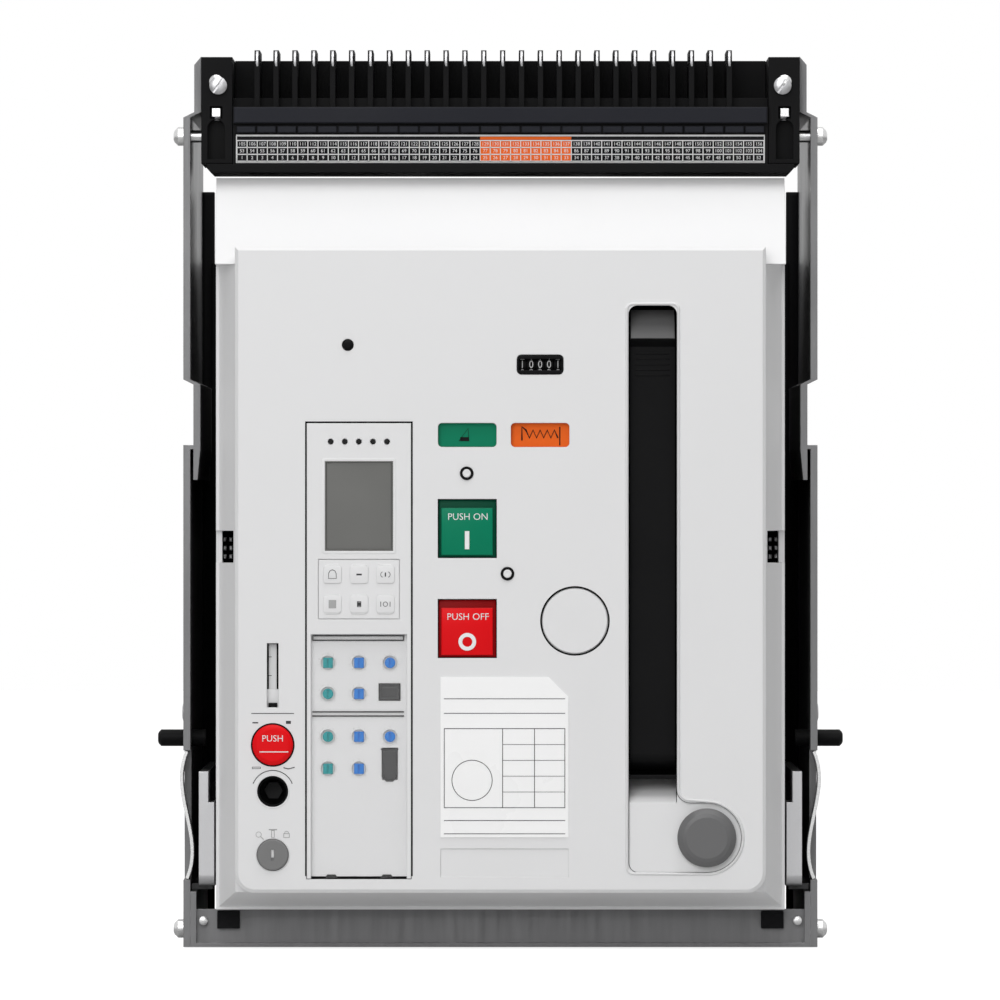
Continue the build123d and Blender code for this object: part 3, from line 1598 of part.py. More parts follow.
# Closing and tripping coils on the frame plates
with BuildPart() as release_coils:
    with BuildSketch(side_on(frame_plate_places[0] + frame_plate_thickness)):
        with Locations((coil_y, coil_z)):
            Circle(coil_radius)
    extrude(amount=coil_length)
    with BuildSketch(side_on(frame_plate_places[1])):
        with Locations((coil_y, coil_z)):
            Circle(coil_radius)
    extrude(amount=-coil_length)
release_coils.part.label = "release_coils"
export_step(release_coils.part, "parts/release_coils.step")

# Fixed contacts and conductors of the three poles
with BuildPart() as conductors:
    for place in pole_places:
        with BuildSketch(side_on(place - terminal_width / 2)):
            rectangle(
                fixed_contact_front,
                conductor_rear,
                upper_terminal - terminal_thickness / 2,
                upper_terminal + terminal_thickness / 2,
            )
            rectangle(
                lower_conductor_front,
                conductor_rear,
                lower_terminal - terminal_thickness / 2,
                lower_terminal + terminal_thickness / 2,
            )
        extrude(amount=terminal_width)
        with BuildSketch(facing(fixed_contact_front)):
            with Locations((place, upper_terminal)):
                RectangleRounded(pad_width, pad_height, pad_thickness / 2)
        extrude(amount=pad_thickness)
conductors.part.label = "conductors"
export_step(conductors.part, "parts/conductors.step")

# Jaw fingers that grip each main terminal from above and below
with BuildPart() as jaw_fingers:
    for place in pole_places:
        for height in terminal_heights:
            for side in (-1, 1):
                inner = height + side * (terminal_thickness / 2 + running_gap)
                with BuildSketch(Plane.XY.offset(inner)):
                    with Locations((place, finger_middle)):
                        with GridLocations(finger_pitch, 0, finger_count, 1):
                            Rectangle(finger_width, finger_length)
                extrude(amount=side * finger_height)
jaw_fingers.part.label = "jaw_fingers"
export_step(jaw_fingers.part, "parts/jaw_fingers.step")

# Moving contacts: arms that stand open, tilted forwards about their pivots
with BuildPart() as moving_contacts:
    for place in pole_places:
        arm_plane = Plane(
            origin=(place - contact_arm_width / 2, contact_pivot_y, contact_pivot_z),
            x_dir=(0, cos(radians(contact_open_angle)), sin(radians(contact_open_angle))),
            z_dir=(1, 0, 0),
        )
        arm_height = upper_terminal - contact_pivot_z
        pad_front = fixed_contact_front - pad_thickness - contact_gap - contact_pivot_y
        with BuildSketch(arm_plane):
            Circle(contact_hub_radius)
            rectangle(
                -contact_arm_thickness / 2, contact_arm_thickness / 2, 0, arm_height + pad_height / 2
            )
            rectangle(0, pad_front, arm_height - pad_height / 2, arm_height + pad_height / 2)
        extrude(amount=contact_arm_width)
        with BuildSketch(side_on(place)):
            with Locations((contact_pivot_y, contact_pivot_z)):
                Circle(contact_pin_radius)
        extrude(amount=chamber_width / 2 - running_gap, both=True)
moving_contacts.part.label = "moving_contacts"
export_step(moving_contacts.part, "parts/moving_contacts.step")

# Current transformers: rings round the lower conductors
with BuildPart() as current_transformers:
    with BuildSketch(facing(transformer_back)):
        for place in pole_places:
            with Locations((place, lower_terminal)):
                RectangleRounded(
                    chamber_width - 2 * transformer_side_gap, transformer_height, base_corner
                )
                Rectangle(
                    terminal_width + 2 * running_gap,
                    terminal_thickness + 2 * running_gap,
                    mode=Mode.SUBTRACT,
                )
    extrude(amount=transformer_depth)
current_transformers.part.label = "current_transformers"
export_step(current_transformers.part, "parts/current_transformers.step")

# Arc chutes: hoods with a flange on the base and slots between the splitters
with BuildPart() as arc_chutes:
    for place in pole_places:
        chute_middle = (chute_front + chute_back) / 2
        with BuildSketch(Plane.XY.offset(chute_bottom)):
            with Locations((place, chute_middle)):
                Rectangle(chute_width, chute_back - chute_front)
        extrude(amount=chute_top - chute_bottom)
        with BuildSketch(Plane.XY.offset(base_top)):
            with Locations((place, chute_middle)):
                Rectangle(
                    chamber_width + 2 * chute_flange, chute_back - chute_front + 4 * chute_flange
                )
        extrude(amount=chute_flange_height)
        with BuildSketch(Plane.XY.offset(chute_top)):
            with Locations((place, chute_middle)):
                with GridLocations(0, splitter_pitch, 1, splitter_count):
                    Rectangle(chute_width - 2 * chute_wall, splitter_gap)
        extrude(amount=chute_bottom - chute_top, mode=Mode.SUBTRACT)
arc_chutes.part.label = "arc_chutes"
export_step(arc_chutes.part, "parts/arc_chutes.step")
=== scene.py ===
"""Looks of a three-pole draw-out air circuit breaker seated in its cradle."""

import json
import math

import bmesh
import bpy
from bpy.props import BoolProperty, FloatProperty, FloatVectorProperty, IntProperty, PointerProperty
from mathutils import Matrix, Vector


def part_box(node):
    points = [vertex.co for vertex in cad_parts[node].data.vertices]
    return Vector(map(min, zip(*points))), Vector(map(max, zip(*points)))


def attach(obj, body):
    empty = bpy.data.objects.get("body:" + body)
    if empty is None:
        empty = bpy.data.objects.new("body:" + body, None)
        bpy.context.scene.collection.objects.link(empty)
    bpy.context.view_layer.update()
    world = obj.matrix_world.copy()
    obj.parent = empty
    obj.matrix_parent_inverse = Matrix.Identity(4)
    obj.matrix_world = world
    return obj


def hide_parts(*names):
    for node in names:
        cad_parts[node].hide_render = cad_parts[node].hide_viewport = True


bl_info = {
    "name": "Draw-out Air Circuit Breaker",
    "version": (1, 0, 0),
    "blender": (4, 5, 0),
    "location": "View3D > Sidebar > Breaker",
    "description": "Models the visible details and finishes of a draw-out air circuit breaker",
    "category": "Object",
}

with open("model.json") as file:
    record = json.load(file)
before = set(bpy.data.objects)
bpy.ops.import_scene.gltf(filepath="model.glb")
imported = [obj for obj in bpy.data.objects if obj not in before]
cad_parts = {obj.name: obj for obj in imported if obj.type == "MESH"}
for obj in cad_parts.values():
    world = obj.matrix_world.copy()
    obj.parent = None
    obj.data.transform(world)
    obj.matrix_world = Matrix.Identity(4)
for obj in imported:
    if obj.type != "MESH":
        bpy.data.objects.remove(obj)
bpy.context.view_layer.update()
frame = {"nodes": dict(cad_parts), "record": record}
MM = 0.001


# Selecting, shaping and placing meshes


def deselect():
    """Deselects every object."""
    bpy.ops.object.select_all(action="DESELECT")


def activate(piece):
    """Selects one object alone and makes it the active one."""
    deselect()
    piece.select_set(True)
    bpy.context.view_layer.objects.active = piece


def added(name):
    """Names the object that an operator has just added."""
    piece = bpy.context.view_layer.objects.active
    piece.name = name
    piece.data.name = name
    return piece


def settle(piece):
    """Moves an object's place, turn and scale into its mesh."""
    activate(piece)
    bpy.ops.object.transform_apply(location=True, rotation=True, scale=True)
    return piece


def pick(piece, kind, test):
    """Selects the faces, edges or verts of an edited mesh that pass a test."""
    bpy.ops.mesh.select_mode(type={"faces": "FACE", "edges": "EDGE", "verts": "VERT"}[kind])
    bpy.ops.mesh.select_all(action="DESELECT")
    mesh = bmesh.from_edit_mesh(piece.data)
    for element in getattr(mesh, kind):
        if test(element):
            element.select_set(True)
    mesh.select_flush_mode()
    bmesh.update_edit_mesh(piece.data)


def facing(direction, limit=0.9):
    """Gives a test for faces whose normal points in a direction."""
    aim = Vector(direction).normalized()
    return lambda face: face.normal.dot(aim) > limit


def edit(piece):
    """Opens an object for editing."""
    activate(piece)
    bpy.ops.object.mode_set(mode="EDIT")


def close_edit():
    """Closes the edited object."""
    bpy.ops.object.mode_set(mode="OBJECT")


def block(name, low, high):
    """Adds a box between two corners given in millimetres."""
    deselect()
    centre = [(a + b) / 2 * MM for a, b in zip(low, high)]
    bpy.ops.mesh.primitive_cube_add(size=1, location=centre)
    piece = added(name)
    piece.scale = [abs(b - a) * MM for a, b in zip(low, high)]
    return settle(piece)


TURNS = {"x": (0, math.pi / 2, 0), "y": (math.pi / 2, 0, 0), "z": (0, 0, 0)}


def disc(name, centre, radius, length, axis="y", sides=32):
    """Adds a round bar about a centre given in millimetres."""
    deselect()
    bpy.ops.mesh.primitive_cylinder_add(
        vertices=sides,
        radius=radius * MM,
        depth=length * MM,
        location=[c * MM for c in centre],
        rotation=TURNS[axis],
    )
    return settle(added(name))


def inset(thickness, depth=0.0):
    """Insets the selected faces, thickness and depth in millimetres."""
    bpy.ops.mesh.inset(thickness=thickness * MM, depth=depth * MM)


def bevel(width, steps=2):
    """Bevels the selected edges."""
    bpy.ops.mesh.bevel(offset=width * MM, segments=steps, affect="EDGES")


def modify(piece, kind, **settings):
    """Adds a modifier to an object and applies it."""
    activate(piece)
    modifier = piece.modifiers.new(kind.title(), kind)
    for key, value in settings.items():
        setattr(modifier, key, value)
    bpy.ops.object.modifier_apply(modifier=modifier.name)
    return piece


def soften(piece, width, steps=2, angle=40):
    """Rounds the sharp edges of a piece and shades it smooth."""
    modify(
        piece,
        "BEVEL",
        width=width * MM,
        segments=steps,
        limit_method="ANGLE",
        angle_limit=math.radians(angle),
        harden_normals=False,
    )
    return smooth(piece)


def smooth(piece, angle=35):
    """Shades a piece smooth up to an angle."""
    activate(piece)
    bpy.ops.object.shade_smooth_by_angle(angle=math.radians(angle))
    return piece


def cut(piece, *cutters):
    """Cuts other pieces out of a piece and removes them."""
    for cutter in cutters:
        modify(piece, "BOOLEAN", operation="DIFFERENCE", object=cutter, solver="EXACT")
        bpy.data.objects.remove(cutter)
    return piece


def join(name, pieces):
    """Joins several pieces into one."""
    activate(pieces[0])
    for piece in pieces[1:]:
        piece.select_set(True)
    if len(pieces) > 1:
        bpy.ops.object.join()
    return added(name)


def copied(piece, name, offset=(0, 0, 0)):
    """Copies a piece with a mesh of its own, moved by an offset in millimetres."""
    activate(piece)
    bpy.ops.object.duplicate(linked=False)
    twin = added(name)
    twin.location = [c * MM for c in offset]
    return settle(twin)


def dress(piece, body, slot, *nodes, finish=None):
    """Gives a piece the material named by its finish, or else by its slot, parents it to its body and hides
    the CAD nodes that it stands for.
    """
    piece.data.materials.clear()
    piece.data.materials.append(bpy.data.materials[finish or slot])
    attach(piece, body)
    if nodes:
        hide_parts(*nodes)
    return piece


# Places, steps and pieces shared by several groups


def limits(name):
    """Gives a CAD node's lowest and highest corner in millimetres."""
    low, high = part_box(name)
    return [c / MM for c in low], [c / MM for c in high]


def middle(name):
    """Gives the middle of a CAD node in millimetres."""
    low, high = limits(name)
    return [(a + b) / 2 for a, b in zip(low, high)]


def moved(piece, matrix):
    """Moves a piece by a matrix and keeps its place in its mesh."""
    piece.matrix_world = matrix
    return settle(piece)


def turned(piece, angle, axis, centre):
    """Turns a piece about a line through a centre given in millimetres."""
    pivot = Matrix.Translation(Vector(centre) * MM)
    return moved(piece, pivot @ Matrix.Rotation(math.radians(angle), 4, axis) @ pivot.inverted())


def push(direction, distance):
    """Moves the selected elements along a direction, in millimetres."""
    bpy.ops.transform.translate(value=Vector(direction) * distance * MM)


def pull_out(direction, distance):
    """Extrudes the selected faces along a direction, in millimetres."""
    bpy.ops.mesh.extrude_region_move(
        TRANSFORM_OT_translate={"value": Vector(direction) * distance * MM}
    )


FRONT = (0, -1, 0)
INK = 0.06


def stepped(piece, *steps, direction=FRONT):
    """Insets the faces that look one way, by the thickness and depth of each step."""
    edit(piece)
    pick(piece, "faces", facing(direction))
    for thickness, depth in steps:
        inset(thickness, depth)
    close_edit()
    return piece


def repeated(piece, offsets):
    """Copies a piece to each offset in millimetres and gives all the pieces."""
    name = piece.name
    return [piece] + [copied(piece, name, offset) for offset in offsets]


def running_back(least):
    """Gives a test for edges that run from front to back, longer than a size in millimetres."""
    return lambda edge: abs(edge.verts[0].co.y - edge.verts[1].co.y) > least * MM


def strip(left, right, bottom, top, front, thickness=INK):
    """Lays a thin strip on a face that looks to the front."""
    deselect()
    bpy.ops.mesh.primitive_plane_add(
        size=1,
        location=((left + right) / 2 * MM, front * MM, (bottom + top) / 2 * MM),
        rotation=(math.pi / 2, 0, 0),
    )
    piece = added("strip")
    piece.scale = ((right - left) * MM, (top - bottom) * MM, 1)
    settle(piece)
    edit(piece)
    bpy.ops.mesh.select_all(action="SELECT")
    pull_out(FRONT, thickness)
    bpy.ops.mesh.select_all(action="SELECT")
    bpy.ops.mesh.normals_make_consistent(inside=False)
    close_edit()
    return piece


def outline(left, right, bottom, top, width, front, thickness=INK):
    """Lays a rectangular outline on a face that looks to the front."""
    piece = strip(left, right, bottom, top, front, thickness)
    edit(piece)
    pick(piece, "faces", lambda face: abs(face.normal.y) > 0.9)
    inset(width)
    bpy.ops.mesh.bridge_edge_loops()
    close_edit()
    return piece


def ring(name, centre, outer, inner, length, axis="y", sides=48):
    """Makes a flat ring: a disc whose two ends are inset and bridged."""
    piece = disc(name, centre, outer, length, axis, sides)
    way = {"x": 0, "y": 1, "z": 2}[axis]
    edit(piece)
    pick(piece, "faces", lambda face: abs(face.normal[way]) > 0.9)
    inset(outer - inner)
    bpy.ops.mesh.bridge_edge_loops()
    close_edit()
    return piece


def lettering(text, size, x, z, front, depth=INK, spread=1.0):
    """Writes plain figures or words that look to the front."""
    deselect()
    bpy.ops.object.text_add(rotation=(math.pi / 2, 0, 0))
    piece = added("lettering")
    piece.data.body = text
    piece.data.size = size * MM
    piece.data.extrude = depth / 2 * MM
    piece.data.resolution_u = 3
    piece.data.space_character = spread
    piece.data.align_x = "CENTER"
    piece.data.align_y = "CENTER"
    activate(piece)
    bpy.ops.object.convert(target="MESH")
    piece.location = (x * MM, (front - depth / 2) * MM, z * MM)
    return settle(piece)


def wire(name, points, width, front=None, closed=False):
    """Draws a round line through points in millimetres."""
    curve = bpy.data.curves.new(name, "CURVE")
    curve.dimensions = "3D"
    curve.bevel_depth = width / 2 * MM
    curve.bevel_resolution = 1
    line = curve.splines.new("POLY")
    line.points.add(len(points) - 1)
    for point, place in zip(line.points, points):
        x, y, z = place if len(place) == 3 else (place[0], front, place[1])
        point.co = (x * MM, y * MM, z * MM, 1)
    line.use_cyclic_u = closed
    piece = bpy.data.objects.new(name, curve)
    bpy.context.scene.collection.objects.link(piece)
    activate(piece)
    bpy.ops.object.convert(target="MESH")
    return piece


def arc(x, z, radius, start, end, steps=16):
    """Gives points on an arc, seen from the front."""
    turns = [math.radians(start + (end - start) * step / steps) for step in range(steps + 1)]
    return [(x + radius * math.cos(turn), z + radius * math.sin(turn)) for turn in turns]


# Shared effects and finishes


def new_group(name, inputs, outputs):
    """Makes a shader node group with named sockets."""
    group = bpy.data.node_groups.new(name, "ShaderNodeTree")
    for label, kind, value in inputs:
        socket = group.interface.new_socket(label, in_out="INPUT", socket_type=kind)
        socket.default_value = value
    for label, kind in outputs:
        group.interface.new_socket(label, in_out="OUTPUT", socket_type=kind)
    return group, group.nodes.new("NodeGroupInput"), group.nodes.new("NodeGroupOutput")


def node(tree, kind, links=None, **settings):
    """Adds a shader node, sets it and links its inputs."""
    made = tree.nodes.new("ShaderNode" + kind)
    for key, value in settings.items():
        setattr(made, key, value)
    for key, value in (links or {}).items():
        if isinstance(value, bpy.types.NodeSocket):
            tree.links.new(value, made.inputs[key])
        else:
            made.inputs[key].default_value = value
    return made


def build_edge_wear():
    """Rounds the shading of edges and masks them, broken up by noise."""
    group, entry, end = new_group(
        "edge_wear",
        [("Radius", "NodeSocketFloat", 0.0004), ("Amount", "NodeSocketFloat", 0.5)],
        [("Mask", "NodeSocketFloat"), ("Normal", "NodeSocketVector")],
    )
    rounding = node(group, "Bevel", {"Radius": entry.outputs["Radius"]}, samples=4)
    geometry = node(group, "NewGeometry")
    alike = node(
        group,
        "VectorMath",
        {0: rounding.outputs["Normal"], 1: geometry.outputs["True Normal"]},
        operation="DOT_PRODUCT",
    )
    place = node(group, "TexCoord")
    patches = node(group, "TexNoise", {"Vector": place.outputs["Object"], "Scale": 160.0, "Detail": 4.0})
    edges = node(
        group,
        "MapRange",
        {"Value": alike.outputs["Value"], "From Min": 0.995, "From Max": 0.8, "To Min": 0.0, "To Max": 1.0},
    )
    spots = node(group, "MapRange", {"Value": patches.outputs["Fac"], "From Min": 0.42, "From Max": 0.62})
    broken = node(group, "Math", {0: edges.outputs[0], 1: spots.outputs[0]}, operation="MULTIPLY")
    amount = node(group, "Math", {0: broken.outputs[0], 1: entry.outputs["Amount"]}, operation="MULTIPLY")
    group.links.new(amount.outputs[0], end.inputs["Mask"])
    group.links.new(rounding.outputs["Normal"], end.inputs["Normal"])
    return group


def build_grain():
    """Gives a surface fine grain and slow mottling."""
    group, entry, end = new_group(
        "surface_grain",
        [
            ("Colour", "NodeSocketColor", (0.8, 0.8, 0.8, 1)),
            ("Grain", "NodeSocketFloat", 1500.0),
            ("Mottle", "NodeSocketFloat", 0.05),
        ],
        [("Colour", "NodeSocketColor"), ("Height", "NodeSocketFloat"), ("Gloss", "NodeSocketFloat")],
    )
    place = node(group, "TexCoord")
    fine = node(
        group,
        "TexNoise",
        {"Vector": place.outputs["Object"], "Scale": entry.outputs["Grain"], "Detail": 3.0},
    )
    slow = node(group, "TexNoise", {"Vector": place.outputs["Object"], "Scale": 28.0, "Detail": 5.0})
    spread = node(group, "Math", {0: slow.outputs["Fac"], 1: 0.5}, operation="SUBTRACT")
    shade = node(group, "Math", {0: spread.outputs[0], 1: entry.outputs["Mottle"]}, operation="MULTIPLY")
    level = node(group, "Math", {0: shade.outputs[0], 1: 1.0}, operation="ADD")
    tinted = node(
        group,
        "VectorMath",
        {0: entry.outputs["Colour"], "Scale": level.outputs[0]},
        operation="SCALE",
    )
    group.links.new(tinted.outputs["Vector"], end.inputs["Colour"])
    group.links.new(fine.outputs["Fac"], end.inputs["Height"])
    group.links.new(slow.outputs["Fac"], end.inputs["Gloss"])
    return group


def build_brushing():
    """Draws fine brush or rolling marks along one direction."""
    group, entry, end = new_group(
        "brush_marks",
        [("Stretch", "NodeSocketVector", (60.0, 60.0, 4000.0))],
        [("Mask", "NodeSocketFloat")],
    )
    place = node(group, "TexCoord")
    scaled = node(
        group,
        "VectorMath",
        {0: place.outputs["Object"], 1: entry.outputs["Stretch"]},
        operation="MULTIPLY",
    )
    marks = node(group, "TexNoise", {"Vector": scaled.outputs["Vector"], "Scale": 1.0, "Detail": 4.0})
    group.links.new(marks.outputs["Fac"], end.inputs["Mask"])
    return group


def build_dust():
    """Masks the thin dust that lies on upward faces."""
    group, entry, end = new_group(
        "settled_dust",
        [("Amount", "NodeSocketFloat", 0.3)],
        [("Mask", "NodeSocketFloat")],
    )
    place = node(group, "TexCoord")
    geometry = node(group, "NewGeometry")
    upward = node(group, "SeparateXYZ", {0: geometry.outputs["Normal"]})
    clouds = node(group, "TexNoise", {"Vector": place.outputs["Object"], "Scale": 90.0, "Detail": 6.0})
    lying = node(group, "MapRange", {"Value": upward.outputs["Z"], "From Min": 0.5, "From Max": 1.0})
    patchy = node(group, "Math", {0: lying.outputs[0], 1: clouds.outputs["Fac"]}, operation="MULTIPLY")
    amount = node(group, "Math", {0: patchy.outputs[0], 1: entry.outputs["Amount"]}, operation="MULTIPLY")
    group.links.new(amount.outputs[0], end.inputs["Mask"])
    return group


def effect(tree, name, **values):
    """Places a shared effect in a material with its own values."""
    made = tree.nodes.new("ShaderNodeGroup")
    made.node_tree = bpy.data.node_groups[name]
    for key, value in values.items():
        made.inputs[key.title()].default_value = value
    return made


def blended(tree, mask, first, second):
    """Mixes two colours by a mask."""
    made = node(tree, "Mix", data_type="RGBA")
    for number, value in ((0, mask), (6, first), (7, second)):
        if isinstance(value, bpy.types.NodeSocket):
            tree.links.new(value, made.inputs[number])
        else:
            made.inputs[number].default_value = value
    return made.outputs[2]


def finish(
    name,
    colour,
    roughness=0.4,
    metal=0.0,
    grain=1800.0,
    bump=0.12,
    mottle=0.06,
    wear=0.4,
    worn=None,
    dust=0.12,
    radius=0.4,
    brush=None,
    coat=0.0,
    alpha=1.0,
    shine=0.5,
):
    """Makes the procedural material of one finish."""
    material = bpy.data.materials.new(name)
    material.use_nodes = True
    tree = material.node_tree
    shader = tree.nodes["Principled BSDF"]
    colour = (*colour, 1.0)
    worn = (*(worn or [min(1.0, c * 1.25 + 0.02) for c in colour[:3]]), 1.0)
    surface = effect(tree, "surface_grain", colour=colour, grain=grain, mottle=mottle)
    edges = effect(tree, "edge_wear", radius=radius * MM, amount=wear)
    film = effect(tree, "settled_dust", amount=dust)
    tint = surface.outputs["Colour"]
    height = surface.outputs["Height"]
    gloss = surface.outputs["Gloss"]
    if brush:
        marks = effect(tree, "brush_marks", stretch=brush)
        darker = [c * 0.8 for c in colour[:3]] + [1.0]
        tint = blended(tree, marks.outputs["Mask"], tint, darker)
        height = marks.outputs["Mask"]
        gloss = marks.outputs["Mask"]
    tint = blended(tree, edges.outputs["Mask"], tint, worn)
    tint = blended(tree, film.outputs["Mask"], tint, (0.42, 0.41, 0.39, 1.0))
    smoothest, roughest = roughness - 0.06, roughness + 0.08
    rough = node(
        tree,
        "MapRange",
        {"Value": gloss, "From Min": 0.3, "From Max": 0.7, "To Min": smoothest, "To Max": roughest},
    )
    relief = node(
        tree,
        "Bump",
        {"Strength": bump, "Distance": 0.0002, "Height": height, "Normal": edges.outputs["Normal"]},
    )
    tree.links.new(tint, shader.inputs["Base Color"])
    tree.links.new(rough.outputs[0], shader.inputs["Roughness"])
    tree.links.new(relief.outputs["Normal"], shader.inputs["Normal"])
    shader.inputs["Metallic"].default_value = metal
    shader.inputs["Coat Weight"].default_value = coat
    shader.inputs["Alpha"].default_value = alpha
    shader.inputs["Specular IOR Level"].default_value = shine
    return material


def flat_ink(name, colour, roughness=0.5):
    """Makes printed ink: even in colour, a little uneven in gloss."""
    return finish(name, colour, roughness, grain=4000.0, bump=0.03, mottle=0.1, wear=0.0, dust=0.0, shine=0.1)


class FinishSettings(bpy.types.PropertyGroup):
    """Colours of the breaker and its cradle."""

    housing: FloatVectorProperty(
        name="Housing",
        description="Colour of the white covers",
        default=(0.78, 0.78, 0.785),
        subtype="COLOR",
        min=0,
        max=1,
    )
    moulding: FloatVectorProperty(
        name="Mouldings",
        description="Colour of the black insulating mouldings",
        default=(0.01, 0.01, 0.011),
        subtype="COLOR",
        min=0,
        max=1,
    )
    cradle: FloatVectorProperty(
        name="Cradle",
        description="Colour of the cradle's sheet metal",
        default=(0.2, 0.2, 0.204),
        subtype="COLOR",
        min=0,
        max=1,
    )
    closing: FloatVectorProperty(
        name="Closing green",
        description="Colour of the ON button and the green flag",
        default=(0.0, 0.205, 0.105),
        subtype="COLOR",
        min=0,
        max=1,
    )
    opening: FloatVectorProperty(
        name="Opening red",
        description="Colour of the OFF and release buttons",
        default=(0.78, 0.003, 0.007),
        subtype="COLOR",
        min=0,
        max=1,
    )
    spring: FloatVectorProperty(
        name="Spring orange",
        description="Colour of the spring flag and the orange labels",
        default=(0.85, 0.14, 0.016),
        subtype="COLOR",
        min=0,
        max=1,
    )


class BREAKER_OT_finishes(bpy.types.Operator):
    """Builds the shared effects and gives every CAD node its finish"""

    bl_idname = "breaker.finishes"
    bl_label = "Finishes"

    def execute(self, context):
        colours = context.scene.breaker_finishes
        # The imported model's plain materials hold the names that the finishes take.
        for plain in list(bpy.data.materials):
            bpy.data.materials.remove(plain)
        build_edge_wear()
        build_grain()
        build_brushing()
        build_dust()
        white = tuple(colours.housing)
        black = tuple(colours.moulding)
        edge_grey = (0.02, 0.02, 0.022)
        self.plastics(colours, white)
        self.metals(colours)
        finish("black_moulding", black, 0.65, mottle=0.4, grain=1300.0, bump=0.2, worn=edge_grey,
               shine=0.08, dust=0.03)
        finish("black_plastic", [c * 0.36 for c in black], 0.5, mottle=0.3, grain=2000.0, worn=edge_grey,
               shine=0.08, dust=0.03)
        flat_ink("white_ink", (0.88, 0.88, 0.88))
        flat_ink("black_ink", (0.006, 0.006, 0.007))
        flat_ink("grey_ink", (0.06, 0.06, 0.062))
        flat_ink("pale_ink", (0.42, 0.42, 0.42))
        for row in frame["record"]["subparts"]:
            part = frame["nodes"][row["node"]]
            # The racking spindle takes near-black steel in place of its zinc: painted shade, so the deep
            # crank hole reads black.
            slot = "black_steel" if row["node"] == "racking_spindle" else row["material_slot"]
            for holder in part.material_slots:
                holder.material = bpy.data.materials[slot]
        return {"FINISHED"}

    def plastics(self, colours, white):
        finish("white_plastic", white, 0.42, grain=2200.0, bump=0.08, mottle=0.03, wear=0.1, radius=0.6)
        finish("pale_rubber", [c * 1.02 for c in white], 0.55, grain=2600.0, mottle=0.04, wear=0.0)
        finish("white_label", (0.97, 0.97, 0.97), 0.3, mottle=0.02, wear=0.0, coat=0.3, radius=0.1)
        finish("strip_label", (0.7, 0.7, 0.7), 0.4, mottle=0.05, wear=0.0, radius=0.1)
        finish("grey_plastic", (0.12, 0.12, 0.122), 0.45, mottle=0.08, bump=0.15)
        # A grey copy of the black handle plastic: painted light that the grip's upward slope catches.
        finish("grip_plastic", (0.12, 0.12, 0.121), 0.5, mottle=0.08, shine=0.15)
        finish("socket_plastic", (0.055, 0.055, 0.056), 0.45, mottle=0.1, shine=0.15)
        finish("navy_plastic", (0.006, 0.0068, 0.0115), 0.4, mottle=0.15, wear=0.2, shine=0.15)
        finish("green_plastic", tuple(colours.closing), 0.4, mottle=0.06, shine=0.12)
        finish("red_plastic", tuple(colours.opening), 0.4, mottle=0.06, shine=0.12)
        # Darker copies of the closing green and opening red: painted shade for the band of each button that
        # lies in shadow inside its recess.
        finish("deep_green", [c * 0.35 for c in colours.closing], 0.45, mottle=0.06, shine=0.1)
        finish("deep_red", [c * 0.35 for c in colours.opening], 0.45, mottle=0.06, shine=0.1)
        finish("orange_plastic", tuple(colours.spring), 0.45, mottle=0.06, shine=0.1)
        finish("blue_plastic", (0.015, 0.21, 0.68), 0.35, mottle=0.06, shine=0.15)
        finish("teal_plastic", (0.005, 0.32, 0.34), 0.35, mottle=0.06, shine=0.15)
        finish("grey_screen", (0.115, 0.115, 0.108), 0.22, mottle=0.08, wear=0.0, coat=0.5, bump=0.02)
        finish("dark_lens", (0.008, 0.008, 0.008), 0.3, wear=0.0, shine=0.15)
        finish("clear_plastic", (0.9, 0.9, 0.9), 0.12, alpha=0.035, wear=0.0, bump=0.01, dust=0.0, shine=0.2)

    def metals(self, colours):
        along, across = 40.0, 2500.0
        finish("grey_steel", tuple(colours.cradle), 0.42, 0.55, grain=900.0, mottle=0.16, wear=0.6,
               worn=(0.55, 0.55, 0.56), brush=(300.0, 300.0, 25.0), bump=0.06)
        finish("grey_steel_lock", (0.2, 0.2, 0.2), 0.5, mottle=0.1, grain=1200.0, shine=0.2)
        finish("black_steel", (0.02, 0.02, 0.021), 0.45, 0.2, mottle=0.2, worn=(0.15, 0.15, 0.15), shine=0.25)
        finish("bright_steel", (0.72, 0.72, 0.72), 0.28, 1.0, mottle=0.12, brush=(along, across, across),
               bump=0.05)
        finish("zinc_steel", (0.5, 0.5, 0.51), 0.34, 1.0, mottle=0.2, brush=(2000.0, along, 2000.0),
               bump=0.05)
        finish("silvered_copper", (0.74, 0.69, 0.62), 0.3, 1.0, mottle=0.25, brush=(2000.0, 30.0, 2000.0),
               bump=0.04)
        finish("copper_wire", (0.55, 0.24, 0.1), 0.35, 1.0, mottle=0.2, brush=(3000.0, 200.0, 200.0),
               bump=0.2)


def panel_face():
    """Gives the depth of the front panel's flat face in millimetres."""
    return limits("rating_plate")[1][1]


def frame_of(name, low, high, side, ends, corner=0.0):
    """Makes a rectangular frame that looks to the front from two blocks."""
    piece = block(name, low, high)
    edit(piece)
    if corner:
        pick(piece, "edges", running_back(abs(high[1] - low[1]) / 2))
        bevel(corner, 5)
    close_edit()
    inner = block(
        "inner",
        (low[0] + side, low[1] - 1, low[2] + ends),
        (high[0] - side, high[1] + 1, high[2] - ends),
    )
    return cut(piece, inner)


